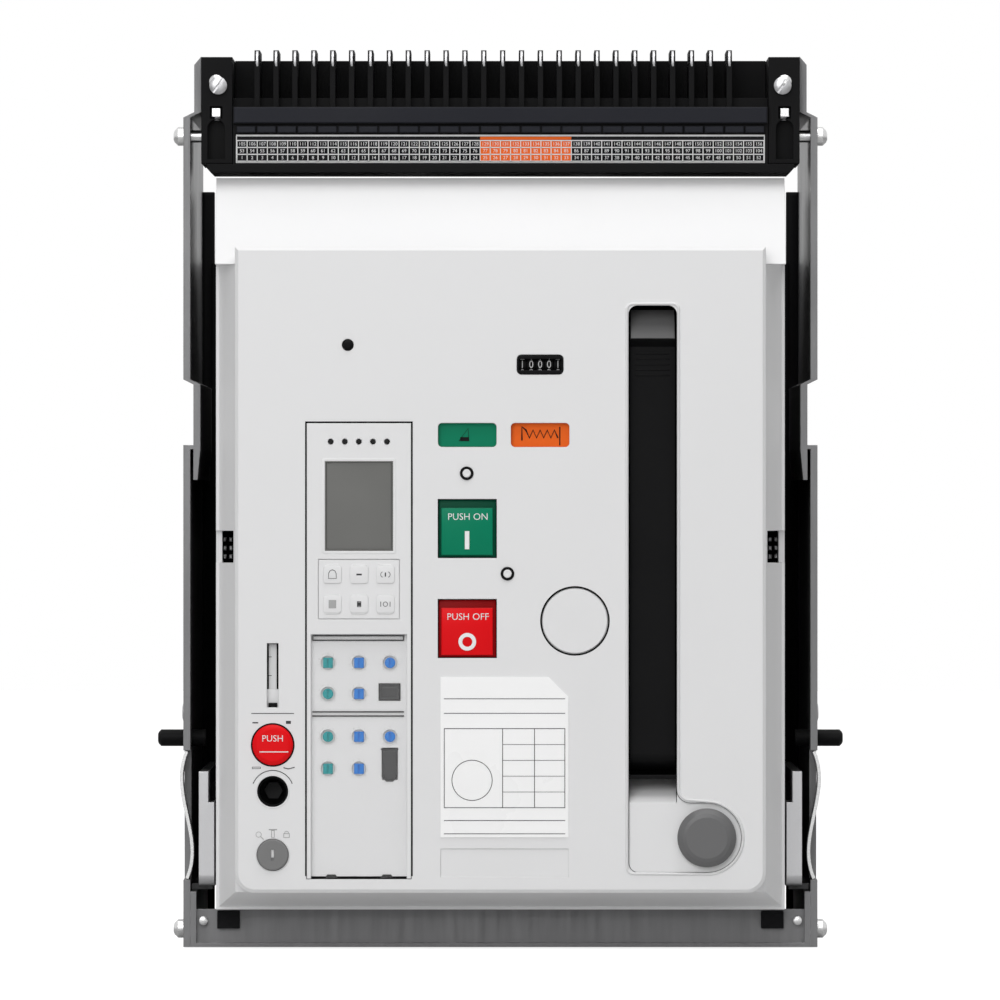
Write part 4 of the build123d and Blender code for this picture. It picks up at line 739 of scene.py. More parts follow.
class DetailSettings(bpy.types.PropertyGroup):
    """Sizes of the small details on the breaker's face and cradle."""

    digit_height: FloatProperty(
        name="Counter figures",
        description="Height of the figures on the counter drums",
        default=0.0038,
        min=0.001,
        unit="LENGTH",
    )
    cell_count: IntProperty(
        name="Numbered cells",
        description="How many numbered cells one row of the terminal strip has",
        default=52,
        min=4,
        max=80,
    )
    bead_width: FloatProperty(
        name="Bead width",
        description="Width of the raised bead round the handle",
        default=0.0017,
        min=0.0004,
        unit="LENGTH",
    )
    # The dark seal round the trip unit is painted shadow: it stands for the thin gap between the trip unit
    # and the panel.
    seal_width: FloatProperty(
        name="Seal width",
        description="Width of the dark seal round the trip unit",
        default=0.00085,
        min=0.0002,
        unit="LENGTH",
    )
    printed_marks: BoolProperty(
        name="Printed marks",
        description="Prints the words and symbols on the ON and OFF buttons",
        default=True,
    )


class BREAKER_OT_push_buttons(bpy.types.Operator):
    """Models the ON and OFF buttons with their rockers, words and symbols"""

    bl_idname = "breaker.push_buttons"
    bl_label = "Push buttons"

    def execute(self, context):
        marks = {
            "on_button": ("PUSH ON", "green_plastic", "deep_green"),
            "off_button": ("PUSH OFF", "red_plastic", "deep_red"),
        }
        for name, (words, slot, shade) in marks.items():
            low, high = limits(name)
            x, _, z = middle(name)
            self.skirt(name, low, high, slot, shade)
            self.rocker(name, low, high, slot)
            if context.scene.breaker_details.printed_marks:
                text = lettering(words, 4.6, x + 0.3, z + 5.6, low[1])
                if name == "on_button":
                    sign = strip(x - 1.2, x + 1.0, z - 10.0, z - 1.2, low[1])
                else:
                    sign = ring("sign", (x, low[1] - INK / 2, z - 6.4), 4.3, 2.4, INK)
                dress(join(name + "_marks", [text, sign]), name, "white_label", finish="white_ink")
        return {"FINISHED"}

    # The skirt takes the darker copy of the button's colour: painted shade for the shadowed band round the
    # rocker.
    def skirt(self, name, low, high, slot, shade):
        piece = block(name + "_skirt", (low[0], low[1] + 2.6, low[2]), high)
        edit(piece)
        pick(piece, "faces", facing((0, 1, 0)))
        inset(6.0)
        pull_out((0, -1, 0), 14)
        pick(piece, "faces", facing(FRONT))
        inset(1.0, 0.3)
        close_edit()
        dress(soften(piece, 0.5, 2), name, slot, finish=shade)

    def rocker(self, name, low, high, slot):
        piece = block(
            name + "_rocker",
            (low[0] + 1.3, low[1] + 1.2, low[2] + 1.0),
            (high[0] - 1.5, low[1] + 3.0, high[2] - 3.9),
        )
        edit(piece)
        pick(piece, "faces", facing(FRONT))
        pull_out(FRONT, 1.2)
        bpy.ops.transform.resize(value=(0.975, 1, 0.975))
        mesh_top = (high[2] - 12.0) * MM
        bpy.ops.mesh.select_all(action="SELECT")
        bpy.ops.mesh.bisect(plane_co=(0, 0, mesh_top), plane_no=(0, 0, 1))
        pick(piece, "verts", lambda v: v.co.z < mesh_top - 0.001 and v.co.y < (low[1] + 0.6) * MM)
        push((0, 1, 0), 0.35)
        close_edit()
        dress(soften(piece, 0.3, 2, 12), name, slot, name)


class BREAKER_OT_flags(bpy.types.Operator):
    """Prints the symbols on the ON/OFF flag and on the spring flag"""

    bl_idname = "breaker.flags"
    bl_label = "Flag symbols"

    def execute(self, context):
        window_middle = middle("on_button")[2] + 45.2
        for flag, other in (("on_off_flag", "red_plastic"), ("spring_flag", "white_plastic")):
            low, high = limits(flag)
            x, z = (low[0] + high[0]) / 2, window_middle
            if flag == "spring_flag":
                swings = [(x - 8.6 + step * 1.72, z + (2.4 if step % 2 else -1.4)) for step in range(1, 11)]
                coil = wire("coil", [(x - 8.8, z - 2.6), (x - 8.8, z + 4.0)] + swings, 0.8, low[1])
                post = strip(x + 9.2, x + 9.8, z - 5.0, z + 4.0, low[1])
                symbol = join("spring_symbol", [coil, post])
            else:
                corners = [(x - 4.0, z - 2.8), (x + 0.4, z + 3.2), (x + 0.8, z - 2.8)]
                arm = wire("arm", corners, 0.5, low[1], True)
                symbol = join("contact_symbol", [arm, strip(x - 3.4, x + 0.6, z - 2.9, z - 1.0, low[1])])
            dress(symbol, flag, "black_plastic", finish="black_ink")
            patch = strip(low[0] + 0.6, high[0] - 0.6, low[2] + 0.6, z - 7.2, low[1], 0.1)
            patch.name = flag + "_second_field"
            dress(soften(patch, 0.04, 1), flag, other)
            corners = [(x - 3, z - 9.6), (x - 3, z - 15.6), (x + 3, z - 15.6), (x + 3, z - 9.6)]
            mark = wire("mark", corners, 0.6, low[1] - 0.1, flag == "on_off_flag")
            mark.name = flag + "_second_symbol"
            dress(mark, flag, "white_label", finish="white_ink" if flag == "on_off_flag" else "black_ink")
        return {"FINISHED"}


class BREAKER_OT_counter(bpy.types.Operator):
    """Puts figures round the counter drums and a frame round their window"""

    bl_idname = "breaker.counter"
    bl_label = "Counter"

    def execute(self, context):
        size_per_height = 1.38
        size = context.scene.breaker_details.digit_height / MM * size_per_height
        low, high = limits("counter_tens")
        axis_y, axis_z = (low[1] + high[1]) / 2, (low[2] + high[2]) / 2
        radius = (high[2] - low[2]) / 2
        tens = (low[0] + high[0]) / 2
        pitch = 4.3
        drums = {
            "counter_units": [(tens + pitch, 1)],
            "counter_tens": [(tens, 0)],
            "counter_high": [(tens - pitch, 0), (tens - 2 * pitch, 0), (tens - 3 * pitch, 1)],
        }
        for name, places in drums.items():
            figures = []
            for x, shown in places:
                for figure in range(10):
                    piece = lettering(str(figure), size, x, axis_z, axis_y - radius + 0.04, 0.12)
                    piece.scale = (0.86, 1, 1)
                    piece.location.x = x * 0.14 * MM
                    settle(piece)
                    figures.append(turned(piece, 36 * (shown - figure), "X", (x, axis_y, axis_z)))
            dress(join(name + "_figures", figures), name, "white_label", finish="white_ink")
        face = panel_face()
        x = tens - pitch
        rim = frame_of(
            "counter_window",
            (x - 11.2, face - 0.25, axis_z - 4.8),
            (x + 11.2, face + 1.6, axis_z + 4.8),
            0.9,
            2.1,
            2.0,
        )
        dress(soften(rim, 0.25, 2), "breaker", "black_plastic")
        return {"FINISHED"}


class BREAKER_OT_face_rings(bpy.types.Operator):
    """Models two black rings of painted groove shadow round two small white pins, a thin black ring of
    painted shadow in the lock cover's groove, and the label's ruled lines
    """

    bl_idname = "breaker.face_rings"
    bl_label = "Rings and label"

    def execute(self, context):
        face = panel_face()
        x, _, z = middle("on_button")
        # The black rings are painted shadow: they stand for the dark grooves round the two small pins and
        # round the lock cover.
        for number, place in enumerate(((x - 0.3, z + 26.7), (x + 19.4, z - 21.8)), 1):
            groove_shadow = ring(f"lock_bush_{number}", (place[0], face - 0.3, place[1]), 3.3, 2.05, 0.9)
            dress(soften(groove_shadow, 0.2, 2), "breaker", "black_plastic")
            pin = disc(f"lock_bush_pin_{number}", (place[0], face - 0.3, place[1]), 1.95, 0.8, sides=24)
            dress(smooth(stepped(pin, (0.4, 0.12), (0.7, -0.2))), "breaker", "white_plastic")
        off_x, _, off_z = middle("off_button")
        line = ring("lock_cover_ring", (off_x + 52.0, face + 0.15, off_z + 3.7), 16.8, 15.95, 0.5, sides=96)
        dress(soften(line, 0.1, 1), "breaker", "black_plastic")
        low, high = limits("rating_plate")
        left, right, bottom, top, front = low[0] + 1.6, high[0] - 1.6, low[2] + 1.6, high[2] - 9.5, low[1]
        table_bottom, table_top, column = bottom + 12.6, top - 15.6, left + 28.2
        heights = (bottom, bottom + 6.4, table_bottom, table_top, top - 8.2, top - 1.2)
        rules = [strip(left, right, height, height + 0.35, front) for height in heights]
        for place in (left, column, left + 43.6, right - 0.35):
            rules.append(strip(place, place + 0.35, table_bottom, table_top, front))
        for row in range(1, 5):
            height = table_bottom + row * (table_top - table_bottom) / 5
            rules.append(strip(column, right, height, height + 0.25, front))
        rules.append(ring("circle", (left + 13.6, front - INK / 2, bottom + 26.0), 9.9, 9.55, INK))
        dress(join("rating_rules", rules), "breaker", "black_plastic", finish="grey_ink")
        return {"FINISHED"}


class BREAKER_OT_left_column(bpy.types.Operator):
    """Models the position scale, the rings of the release button and crank hole, and the key lock"""

    bl_idname = "breaker.left_column"
    bl_label = "Racking controls"

    def execute(self, context):
        face = panel_face()
        x, _, lock_z = middle("key_lock")
        release_z = middle("release_button")[2]
        hole_z = middle("racking_spindle")[2]
        pointer_low, pointer_high = limits("position_pointer")
        slot_bottom = pointer_low[2] + 4.6
        self.pointer(x, pointer_low, pointer_high)
        scale = strip(x - 2.0, x + 1.9, slot_bottom, slot_bottom + 30.6, face + 5.2, 0.5)
        tick = strip(x - 2.0, x - 0.6, slot_bottom + 6, slot_bottom + 6.3, face + 4.7)
        ticks = repeated(tick, [(0, 0, 9), (0, 0, 18)])
        scale.name = "position_scale"
        dress(soften(scale, 0.1, 1), "breaker", "white_plastic")
        dress(join("position_ticks", ticks), "breaker", "grey_plastic", finish="grey_ink")
        wave = ((5.2, -11.0), (7.6, -11.6), (10.6, -10.8))
        marks = [
            wire("line", [(x - 10.3, release_z + 15.2), (x + 10.3, release_z + 15.2)], 0.4, face),
            wire("arch", arc(x, hole_z, 10.2, 22, 158), 0.45, face),
            outline(x - 10.0, x - 5.8, release_z - 11.6, release_z - 10.6, 0.25, face),
            wire("wave", [(x + across, release_z + up) for across, up in wave], 0.5, face),
            strip(x - 9.8, x - 7.0, release_z + 10.4, release_z + 11.0, face),
            strip(x + 6.4, x + 8.8, release_z + 10.2, release_z + 11.6, face),
        ]
        dress(join("racking_marks", marks), "breaker", "black_plastic", finish="grey_ink")
        faint = [
            wire("key", arc(x - 6.8, lock_z + 9.8, 1.3, 0, 360), 0.3, face),
            wire("stem", [(x - 5.9, lock_z + 8.9), (x - 4.4, lock_z + 7.4)], 0.4, face),
            strip(x - 1.9, x + 2.1, lock_z + 11.9, lock_z + 12.5, face),
            outline(x - 0.7, x + 0.9, lock_z + 8.3, lock_z + 11.9, 0.3, face),
            outline(x + 5.2, x + 8.2, lock_z + 8.2, lock_z + 10.4, 0.3, face),
            wire("bow", arc(x + 6.7, lock_z + 10.4, 1.0, 0, 180), 0.3, face),
        ]
        dress(join("lock_marks", faint), "breaker", "grey_plastic", finish="pale_ink")
        rings = (("release_button_ring", release_z, 10.55, 10.05, "black_plastic"),
                 ("crank_hole_ring", hole_z, 8.3, 7.55, "white_plastic"),
                 ("key_lock_ring", lock_z, 8.3, 7.75, "white_plastic"))
        for name, height, outer, inner, slot in rings:
            collar = ring(name, (x, face + 0.1, height), outer, inner, 0.7, sides=64)
            dress(soften(collar, 0.12, 2), "breaker", slot)
        liner = ring("crank_hole_liner", (x, face + 8.0, hole_z), 7.55, 6.6, 13.0, sides=48)
        dress(smooth(liner), "breaker", "black_plastic")
        self.release_face(x, release_z)
        self.key_way(x, lock_z)
        return {"FINISHED"}

    def pointer(self, x, low, high):
        slide = stepped(block("pointer_slide", (low[0], high[1] - 1.0, low[2]), high), (0.3, 0.0))
        dress(soften(slide, 0.2, 2), "position_pointer", "white_plastic", "position_pointer")
        tip = block("pointer_tip", (x - 2.1, low[1], low[2] + 4.3), (x + 2.1, high[1] - 0.9, low[2] + 6.6))
        dress(soften(stepped(tip, (0.4, 0.0)), 0.2, 2), "position_pointer", "black_plastic")

    def release_face(self, x, z):
        front = limits("release_button")[0][1]
        words = lettering("PUSH", 4.4, x, z + 3.0, front)
        line = strip(x - 6.4, x + 7.6, z - 3.6, z - 3.1, front)
        marks = join("release_button_marks", [words, line])
        dress(marks, "release_button", "white_label", finish="white_ink")

    def key_way(self, x, z):
        front = limits("key_lock")[0][1] + 1.55
        barrel = disc("key_way", (x, front - 0.25, z), 3.6, 0.9, sides=40)
        stepped(barrel, (0.3, 0.12), (0.4, -0.15))
        slot = block("slot", (x - 0.9, front - 2, z - 1.4), (x + 0.7, front + 0.1, z + 3.4))
        dress(smooth(cut(barrel, slot)), "key_lock", "grey_steel_lock")
        flap = strip(x - 0.85, x + 0.65, z - 1.35, z + 3.35, front - 0.5, 0.2)
        flap.name = "key_way_shutter"
        dress(soften(flap, 0.08, 2), "key_lock", "white_label", finish="white_ink")


class BREAKER_OT_trip_unit(bpy.types.Operator):
    """Models the trip unit's black surround of painted gap shadow, bezel, key symbols, bars, socket and hinge
    rod
    """

    bl_idname = "breaker.trip_unit"
    bl_label = "Trip unit"

    def execute(self, context):
        low, high = limits("trip_unit")
        face = panel_face()
        self.seal(low, high, face, context.scene.breaker_details.seal_width / MM)
        left, right = low[0], high[0]
        line = strip(left + 3.2, right - 5.0, high[2] - 3.5, high[2] - 3.0, face + 2.8)
        line.name = "trip_unit_upper_line"
        dress(line, "breaker", "grey_plastic")
        self.bezel()
        self.lens_marks()
        self.key_symbols()
        self.cover_details(left, right, low[1] + 4.0)
        return {"FINISHED"}

    # A thin black frame round the trip unit: painted shadow for the gap between the trip unit and the panel.
    def seal(self, low, high, face, width):
        seal = frame_of(
            "trip_unit_seal",
            (low[0] - width, face - 0.12, low[2] - width),
            (high[0] + width, face + 3.0, high[2] + width),
            width,
            width,
        )
        swing = block("swing", (low[0] - 3, face - 2, low[2] - 3), (high[0] + 3, face + 4, low[2] + 1.2))
        dress(cut(seal, swing), "breaker", "black_plastic")

    def bezel(self):
        low, high = limits("trip_screen")
        rim = frame_of(
            "screen_rim",
            (low[0] - 0.9, low[1] - 0.1, low[2] - 0.9),
            (high[0] + 0.9, low[1] + 1.2, high[2] + 0.9),
            1.7,
            1.7,
            1.2,
        )
        dress(soften(rim, 0.35, 3), "breaker", "white_plastic")
        glass = strip(low[0] + 1.2, high[0] - 1.2, low[2] + 1.2, high[2] - 1.2, low[1] + 1.5, 0.5)
        glass.name = "screen_glass"
        dress(stepped(glass, (0.5, 0.12)), "breaker", "grey_screen")

    def lens_marks(self):
        low, high = limits("status_lenses")
        first, pitch = low[0] + 1.2, (high[0] - low[0] - 2.4) / 4
        mark = strip(first - 1.6, first + 1.6, low[2] - 2.6, low[2] - 2.2, high[1])
        marks = repeated(mark, [(number * pitch, 0, 0) for number in range(1, 5)])
        dress(join("lens_marks", marks), "breaker", "grey_plastic", finish="pale_ink")

    def key_symbols(self):
        low, high = limits("keypad")
        front = low[1] + 0.25
        columns = [low[0] + 6.6, (low[0] + high[0]) / 2 + 0.1, high[0] - 6.6]
        upper, lower = high[2] - 7.1, low[2] + 7.0
        pad = strip(columns[0] - 4.4, columns[0] + 4.4, upper - 4.2, upper + 4.2, front, 0.35)
        edit(pad)
        pick(pad, "edges", running_back(0.1))
        bevel(1.2, 4)
        pick(pad, "faces", facing(FRONT))
        inset(0.5, 0.12)
        close_edit()
        places = [(x - columns[0], 0, z - upper) for x in columns for z in (upper, lower)]
        pads = repeated(pad, places[1:])
        dress(smooth(join("key_pads", pads)), "breaker", "pale_rubber")
        top = front - 0.48
        bell = [(-1.9, -1.9), (1.9, -1.9), (1.8, 0.6), (1.2, 1.8), (0, 2.3), (-1.2, 1.8), (-1.8, 0.6)]
        signs = [
            wire("bell", [(columns[0] + x, upper + z) for x, z in bell], 0.35, top, True),
            strip(columns[1] - 1.3, columns[1] + 1.3, upper - 0.4, upper + 0.4, top),
            wire("left", arc(columns[2] - 0.9, upper, 1.4, 110, 250, 6), 0.3, top),
            wire("right", arc(columns[2] + 0.9, upper, 1.4, -70, 70, 6), 0.3, top),
            strip(columns[2] - 0.3, columns[2] + 0.3, upper - 1.0, upper + 1.0, top),
            outline(columns[1] - 1.0, columns[1] + 1.0, lower - 1.4, lower + 1.4, 0.3, top),
            strip(columns[1] - 0.7, columns[1] + 0.7, lower - 0.9, lower + 0.9, top),
            wire("zero", arc(columns[2], lower, 1.1, 0, 360, 12), 0.3, top),
            strip(columns[2] - 2.4, columns[2] - 2.1, lower - 1.2, lower + 1.2, top),
            strip(columns[2] + 2.1, columns[2] + 2.4, lower - 1.2, lower + 1.2, top),
        ]
        dress(join("key_symbols", signs), "breaker", "black_plastic", finish="grey_ink")
        pale = strip(columns[0] - 1.8, columns[0] + 1.8, lower - 2.0, lower + 2.0, top)
        pale.name = "menu_key_symbol"
        dress(pale, "breaker", "grey_plastic", finish="pale_ink")

    def cover_details(self, left, right, face):
        split = middle("keypad")[2] - 23.5
        start, end = left + 2.6, right - 3.4
        dark = [
            frame_of("bar", (start, face - 0.6, split - 1.5), (end, face, split + 1.3), 0.5, 0.6),
            strip(start, end, split - 38.1, split - 37.5, face, 0.5),
            strip(start, end, split - 36.1, split - 35.5, face, 0.5),
            outline(right - 15.7, right - 5.1, split - 30.4, split - 22.0, 0.5, face, 0.3),
            outline(right - 14.6, right - 6.2, split - 54.2, split - 53.5, 0.3, face, 0.3),
        ]
        dress(join("cover_bars", dark), "breaker", "black_plastic")
        x = right - 10.4
        front, back = face - 0.4, face + 0.6
        socket = block("remote_socket", (x - 4.9, front, split - 30.0), (x + 4.9, back, split - 22.4))
        edit(socket)
        pick(socket, "faces", facing(FRONT))
        inset(0.5)
        inset(0.15, -0.3)
        inset(0.9, 0.0)
        pull_out(FRONT, 0.15)
        close_edit()
        dress(soften(socket, 0.08, 1), "breaker", "grey_plastic", finish="socket_plastic")
        port = block("memory_port", (x - 3.8, front, split - 69.5), (x + 3.8, back, split - 53.9))
        edit(port)
        corner = running_back(0.3)
        pick(port, "edges", lambda edge: corner(edge) and edge.verts[0].co.z < (split - 69) * MM)
        bevel(2.2, 1)
        pick(port, "faces", facing(FRONT))
        inset(0.4)
        inset(0.15, -0.3)
        inset(0.8, 0.2)
        close_edit()
        dress(port, "breaker", "grey_plastic", finish="socket_plastic")
        low = limits("clear_cover")[0]
        front = face + 0.4
        knuckle = strip(left + 8.6, left + 15.0, low[2], low[2] + 1.6, front, 0.7)
        edit(knuckle)
        pick(knuckle, "verts", lambda v: v.co.z > (low[2] + 1) * MM)
        bpy.ops.transform.resize(value=(0.6, 1, 1))
        close_edit()
        end = strip(left + 0.1, left + 1.7, low[2] - 0.3, low[2] + 3.8, front, 0.7)
        rod = [strip(left, right, low[2] - 0.3, low[2] + 0.7, front, 0.6)]
        rod += repeated(knuckle, [(right - left - 23.4, 0, 0)])
        rod += repeated(end, [(right - left - 1.8, 0, 0)])
        dress(join("hinge_rod", rod), "breaker", "black_plastic")


class BREAKER_OT_dials(bpy.types.Operator):
    """Models the ten setting dials with their wells, slots and scales"""

    bl_idname = "breaker.dials"
    bl_label = "Setting dials"

    def execute(self, context):
        round_ones = (3, 4, 6, 8)
        blues = (2, 3, 5, 7, 8, 10)
        low, high = limits("dial_1")
        x, _, z = middle("dial_1")
        skirt = self.skirt(x, z, low, high)
        round_grip = self.grip(disc("grip", (x, low[1] + 0.55, z), 2.55, 1.1, sides=28), x, z, low[1])
        corners = (x - 2.35, low[1], z - 2.5), (x + 2.35, low[1] + 1.1, z + 2.5)
        square_grip = self.grip(block("grip", *corners), x, z, low[1])
        scales, wells = [self.scale(x, z, low[1] - 0.42)], []
        wells.append(soften(ring("well", (x, low[1] - 0.5, z), 4.0, 3.42, 0.35, sides=40), 0.1, 2))
        for number in range(1, 11):
            name = f"dial_{number}"
            place = middle(name)
            offset = (place[0] - x, 0, place[2] - z)
            slot = "blue_plastic" if number in blues else "teal_plastic"
            grip = round_grip if number in round_ones else square_grip
            dress(copied(skirt, name + "_skirt", offset), name, "white_plastic", name)
            dress(copied(grip, name + "_grip", offset), name, slot)
            if number > 1:
                scales.append(copied(scales[0], "scale", offset))
                wells.append(copied(wells[0], "well", offset))
        for pattern in (skirt, round_grip, square_grip):
            bpy.data.objects.remove(pattern)
        dress(join("dial_scales", scales), "breaker", "grey_plastic", finish="pale_ink")
        dress(join("dial_wells", wells), "breaker", "white_plastic")
        return {"FINISHED"}

    def scale(self, x, z, front):
        near, far = 4.3, 5.0
        ticks = []
        for step in range(9):
            turn = math.radians(225 - 33.75 * step)
            across, up = math.cos(turn), math.sin(turn)
            ends = [(x + near * across, z + near * up), (x + far * across, z + far * up)]
            ticks.append(wire("tick", ends, 0.16, front))
        return join("scale", ticks)

    def skirt(self, x, z, low, high):
        depth = high[1] - low[1] - 0.6
        piece = disc("skirt", (x, high[1] - depth / 2, z), 3.35, depth, sides=32)
        return smooth(stepped(piece, (0.5, 0.2), (0.4, -0.3)))

    def grip(self, piece, x, z, front):
        stepped(piece, (0.3, 0.1))
        notch = block("notch", (x - 0.45, front - 1, z - 1.8), (x + 0.45, front + 0.45, z + 1.8))
        return soften(cut(piece, notch), 0.08, 1)


class BREAKER_OT_handle(bpy.types.Operator):
    """Models the raised bead round the handle's channel, the grip's ribs, and a grey plate on the grip's
    sloped top that is painted light
    """

    bl_idname = "breaker.handle"
    bl_label = "Charging handle"

    def execute(self, context):
        face = panel_face()
        width = context.scene.breaker_details.bead_width / MM
        low, high = limits("handle_channel")
        foot_low, foot_high = limits("handle_foot")
        hub = middle("hub_cap")
        left, right = low[0] + 1.2, high[0] - 1.2
        top, bottom = high[2] - 1.2, foot_low[2] - 0.6
        radius = foot_high[0] - hub[0] + 0.9
        corner, fillet = 3.0, 6.0
        points = arc(left + corner, top - corner, corner, 90, 180, 6)
        points += arc(left + corner, bottom + corner, corner, 180, 270, 6)
        points += arc(hub[0], hub[2], radius, -90, 82, 22)
        points += arc(right + fillet, hub[2] + 24.0, fillet, 250, 180, 6)
        points += arc(right - corner, top - corner, corner, 0, 90, 6)
        bead = wire("handle_bead", points, width, face + 0.2, True)
        dress(smooth(bead, 60), "breaker", "white_plastic")
        self.ribs()
        self.grip()
        return {"FINISHED"}

    def ribs(self):
        low, high = limits("charging_handle")
        x, z = (low[0] + high[0]) / 2, high[2] - 22.0
        rib = soften(block("rib", (x - 8.2, low[1] + 4.2, z - 0.4), (x + 8.2, low[1] + 5.0, z + 0.4)), 0.3, 2)
        ribs = repeated(rib, [(0, 0, -2.6 * number) for number in range(1, 5)])
        dress(join("grip_ribs", ribs), "charging_handle", "black_plastic")

    def grip(self):
        low, high = limits("charging_handle")
        x = middle("handle_channel")[0]
        bottom, depth = high[2] - 14.7, low[1]
        # A grey plate laid on the grip's sloped top: painted light, lighter than the black handle because the
        # slope faces up into the light.
        cap = strip(x - 10.6, x + 10.6, bottom, bottom + 18.0, depth, 0.35)
        stepped(cap, (0.5, 0.1))
        cap.name = "grip_cap"
        turned(cap, -39.8, "X", (0, depth, bottom))
        dress(soften(cap, 0.1, 1), "charging_handle", "black_plastic", finish="grip_plastic")


CLIP_COUNT = 26
CLIP_WIDTH = 1.8


class BREAKER_OT_terminal_row(bpy.types.Operator):
    """Models the bent contact clips, the band and teeth of the terminal row, and its numbered strip"""

    bl_idname = "breaker.terminal_row"
    bl_label = "Terminal row"

    def execute(self, context):
        places = self.fin_places()
        self.clips(places)
        self.contacts(places)
        self.band()
        self.numbers(context.scene.breaker_details.cell_count)
        self.end_details()
        return {"FINISHED"}

    def fin_places(self):
        low, high = limits("block_clips")
        pitch = (high[0] - low[0] - CLIP_WIDTH) / (CLIP_COUNT - 1)
        return [low[0] + CLIP_WIDTH / 2 + number * pitch for number in range(CLIP_COUNT)]

    def clips(self, places):
        low, high = limits("block_clips")
        left, right = places[0] - CLIP_WIDTH / 2, places[0] + CLIP_WIDTH / 2
        first = block("clip", (left, low[1], low[2]), (right, high[1], high[2] - 1.0))
        edit(first)
        pick(first, "faces", facing((0, 0, 1)))
        pull_out((0, 0, 1), 0.6)
        bpy.ops.transform.resize(value=(0.6, 0.82, 1))
        pull_out((0, 0, 1), 0.35)
        bpy.ops.transform.resize(value=(0.6, 0.9, 1))
        close_edit()
        row = repeated(smooth(first, 50), [(x - places[0], 0, 0) for x in places[1:]])
        dress(join("terminal_clips", row), "cradle", "bright_steel", "block_clips")

    def contacts(self, places):
        front = limits("end_blocks")[0][1]
        top = limits("terminal_block")[1][2]
        x = places[0]
        blade = block("blade", (x - 0.6, front - 0.35, top - 6.5), (x + 0.6, front, top - 3.1))
        edit(blade)
        pick(blade, "faces", facing((0, 0, 1)))
        pull_out((0, 1.0, 1.0), 2.75)
        pull_out((0, 1.0, 0.05), 3.0)
        pick(blade, "faces", facing((0, 0, -1)))
        pull_out((0.12, -0.12, -1), 1.6)
        bpy.ops.transform.resize(value=(0.7, 0.8, 1))
        pull_out((0.1, 0.2, -1), 3.4)
        bpy.ops.transform.resize(value=(0.6, 0.8, 1))
        close_edit()
        row = repeated(soften(blade, 0.08, 1), [(place - x, 0, 0) for place in places[1:]])
        dress(join("contact_blades", row), "cradle", "zinc_steel")

    def band(self):
        front = limits("terminal_block")[0][1]
        low, high = limits("number_strip")
        band = strip(low[0] - 1.0, high[0] + 1.0, high[2] + 5.6, high[2] + 13.2, front + 0.3, 0.3)
        band.name = "terminal_band"
        dress(stepped(band, (0.4, 0.15)), "cradle", "black_plastic", finish="navy_plastic")
        pitch = (high[0] - low[0]) / CLIP_COUNT
        tooth = block(
            "tooth",
            (low[0] + 0.4, front + 0.9, high[2] + 0.9),
            (low[0] + pitch - 0.4, front + 1.6, high[2] + 4.0),
        )
        offsets = [(number * pitch, 0, 0) for number in range(1, CLIP_COUNT)]
        teeth = repeated(stepped(tooth, (0.3, 0.2)), offsets)
        dress(join("terminal_teeth", teeth), "cradle", "black_plastic", finish="navy_plastic")

    def numbers(self, count):
        low, high = limits("number_strip")
        front, ink = low[1], low[1] - INK
        left, right = low[0] + 0.5, high[0] - 0.5
        pitch = (right - left) / count
        base = strip(left, right, low[2] + 0.4, high[2] - 0.4, front)
        base.name = "strip_black_field"
        dress(base, "cradle", "black_plastic", finish="black_ink")
        heights = [low[2] + 0.6 + row * 3.35 for row in range(4)]
        lines = [strip(left, right, z, z + 0.5, ink) for z in heights]
        lines.append(strip(left, right, high[2] - 0.9, high[2] - 0.4, ink))
        upright = strip(left - 0.22, left + 0.22, heights[0], heights[-1], ink)
        lines += repeated(upright, [(number * pitch, 0, 0) for number in range(1, count + 1)])
        cells = []
        for number in range(count):
            x = left + (number + 0.5) * pitch
            for row in range(3):
                figure = str(number + 1 + row * count)
                cells.append(lettering(figure, 2.3, x, heights[row] + 1.9, ink))
        dress(join("strip_grid", lines), "cradle", "strip_label", finish="white_ink")
        dress(join("strip_numbers", cells), "cradle", "strip_label", finish="white_ink")
        start, end = left + 24 * pitch, left + 33 * pitch
        fields = [(z + 0.5, z + 3.3) for z in heights[:3]] + [(heights[3] + 0.6, high[2] - 1.0)]
        orange = [strip(start, end, *field, front - INK / 2, INK * 0.8) for field in fields]
        dress(join("strip_orange_field", orange), "cradle", "orange_plastic")

    def end_details(self):
        z = middle("end_blocks")[2]
        front = limits("block_screws")[0][1]
        bolt_x, bolt_z = -137.2, z + 11.9
        bolt = disc("bolt", (bolt_x, front + 1.4, bolt_z), 4.3, 2.0, sides=40)
        stepped(bolt, (0.8, 0.6), (1.2, 0.35))
        groove = block("groove", (bolt_x - 0.6, front - 3.4, z + 4), (bolt_x + 0.6, front + 0.5, z + 20))
        cut(bolt, turned(groove, 35, "Y", (bolt_x, 0, bolt_z)))
        bolts = repeated(smooth(bolt), [(-2 * bolt_x, 0, 0)])
        dress(join("end_bolt_heads", bolts), "cradle", "zinc_steel")
        pin_x, pin_front = -137.6, front + 5.6
        pin = block("pin", (pin_x - 1.5, pin_front, z - 4.9), (pin_x + 1.5, pin_front + 3.0, z - 1.9))
        pins = repeated(soften(stepped(pin, (0.4, 0.3)), 0.15, 2), [(-2 * pin_x, 0, 0)])
        dress(join("end_pin_heads", pins), "cradle", "zinc_steel")


SHEET = 3.4
BARRIER_DEPTH = 26.0
POLE_PITCH = 90.0


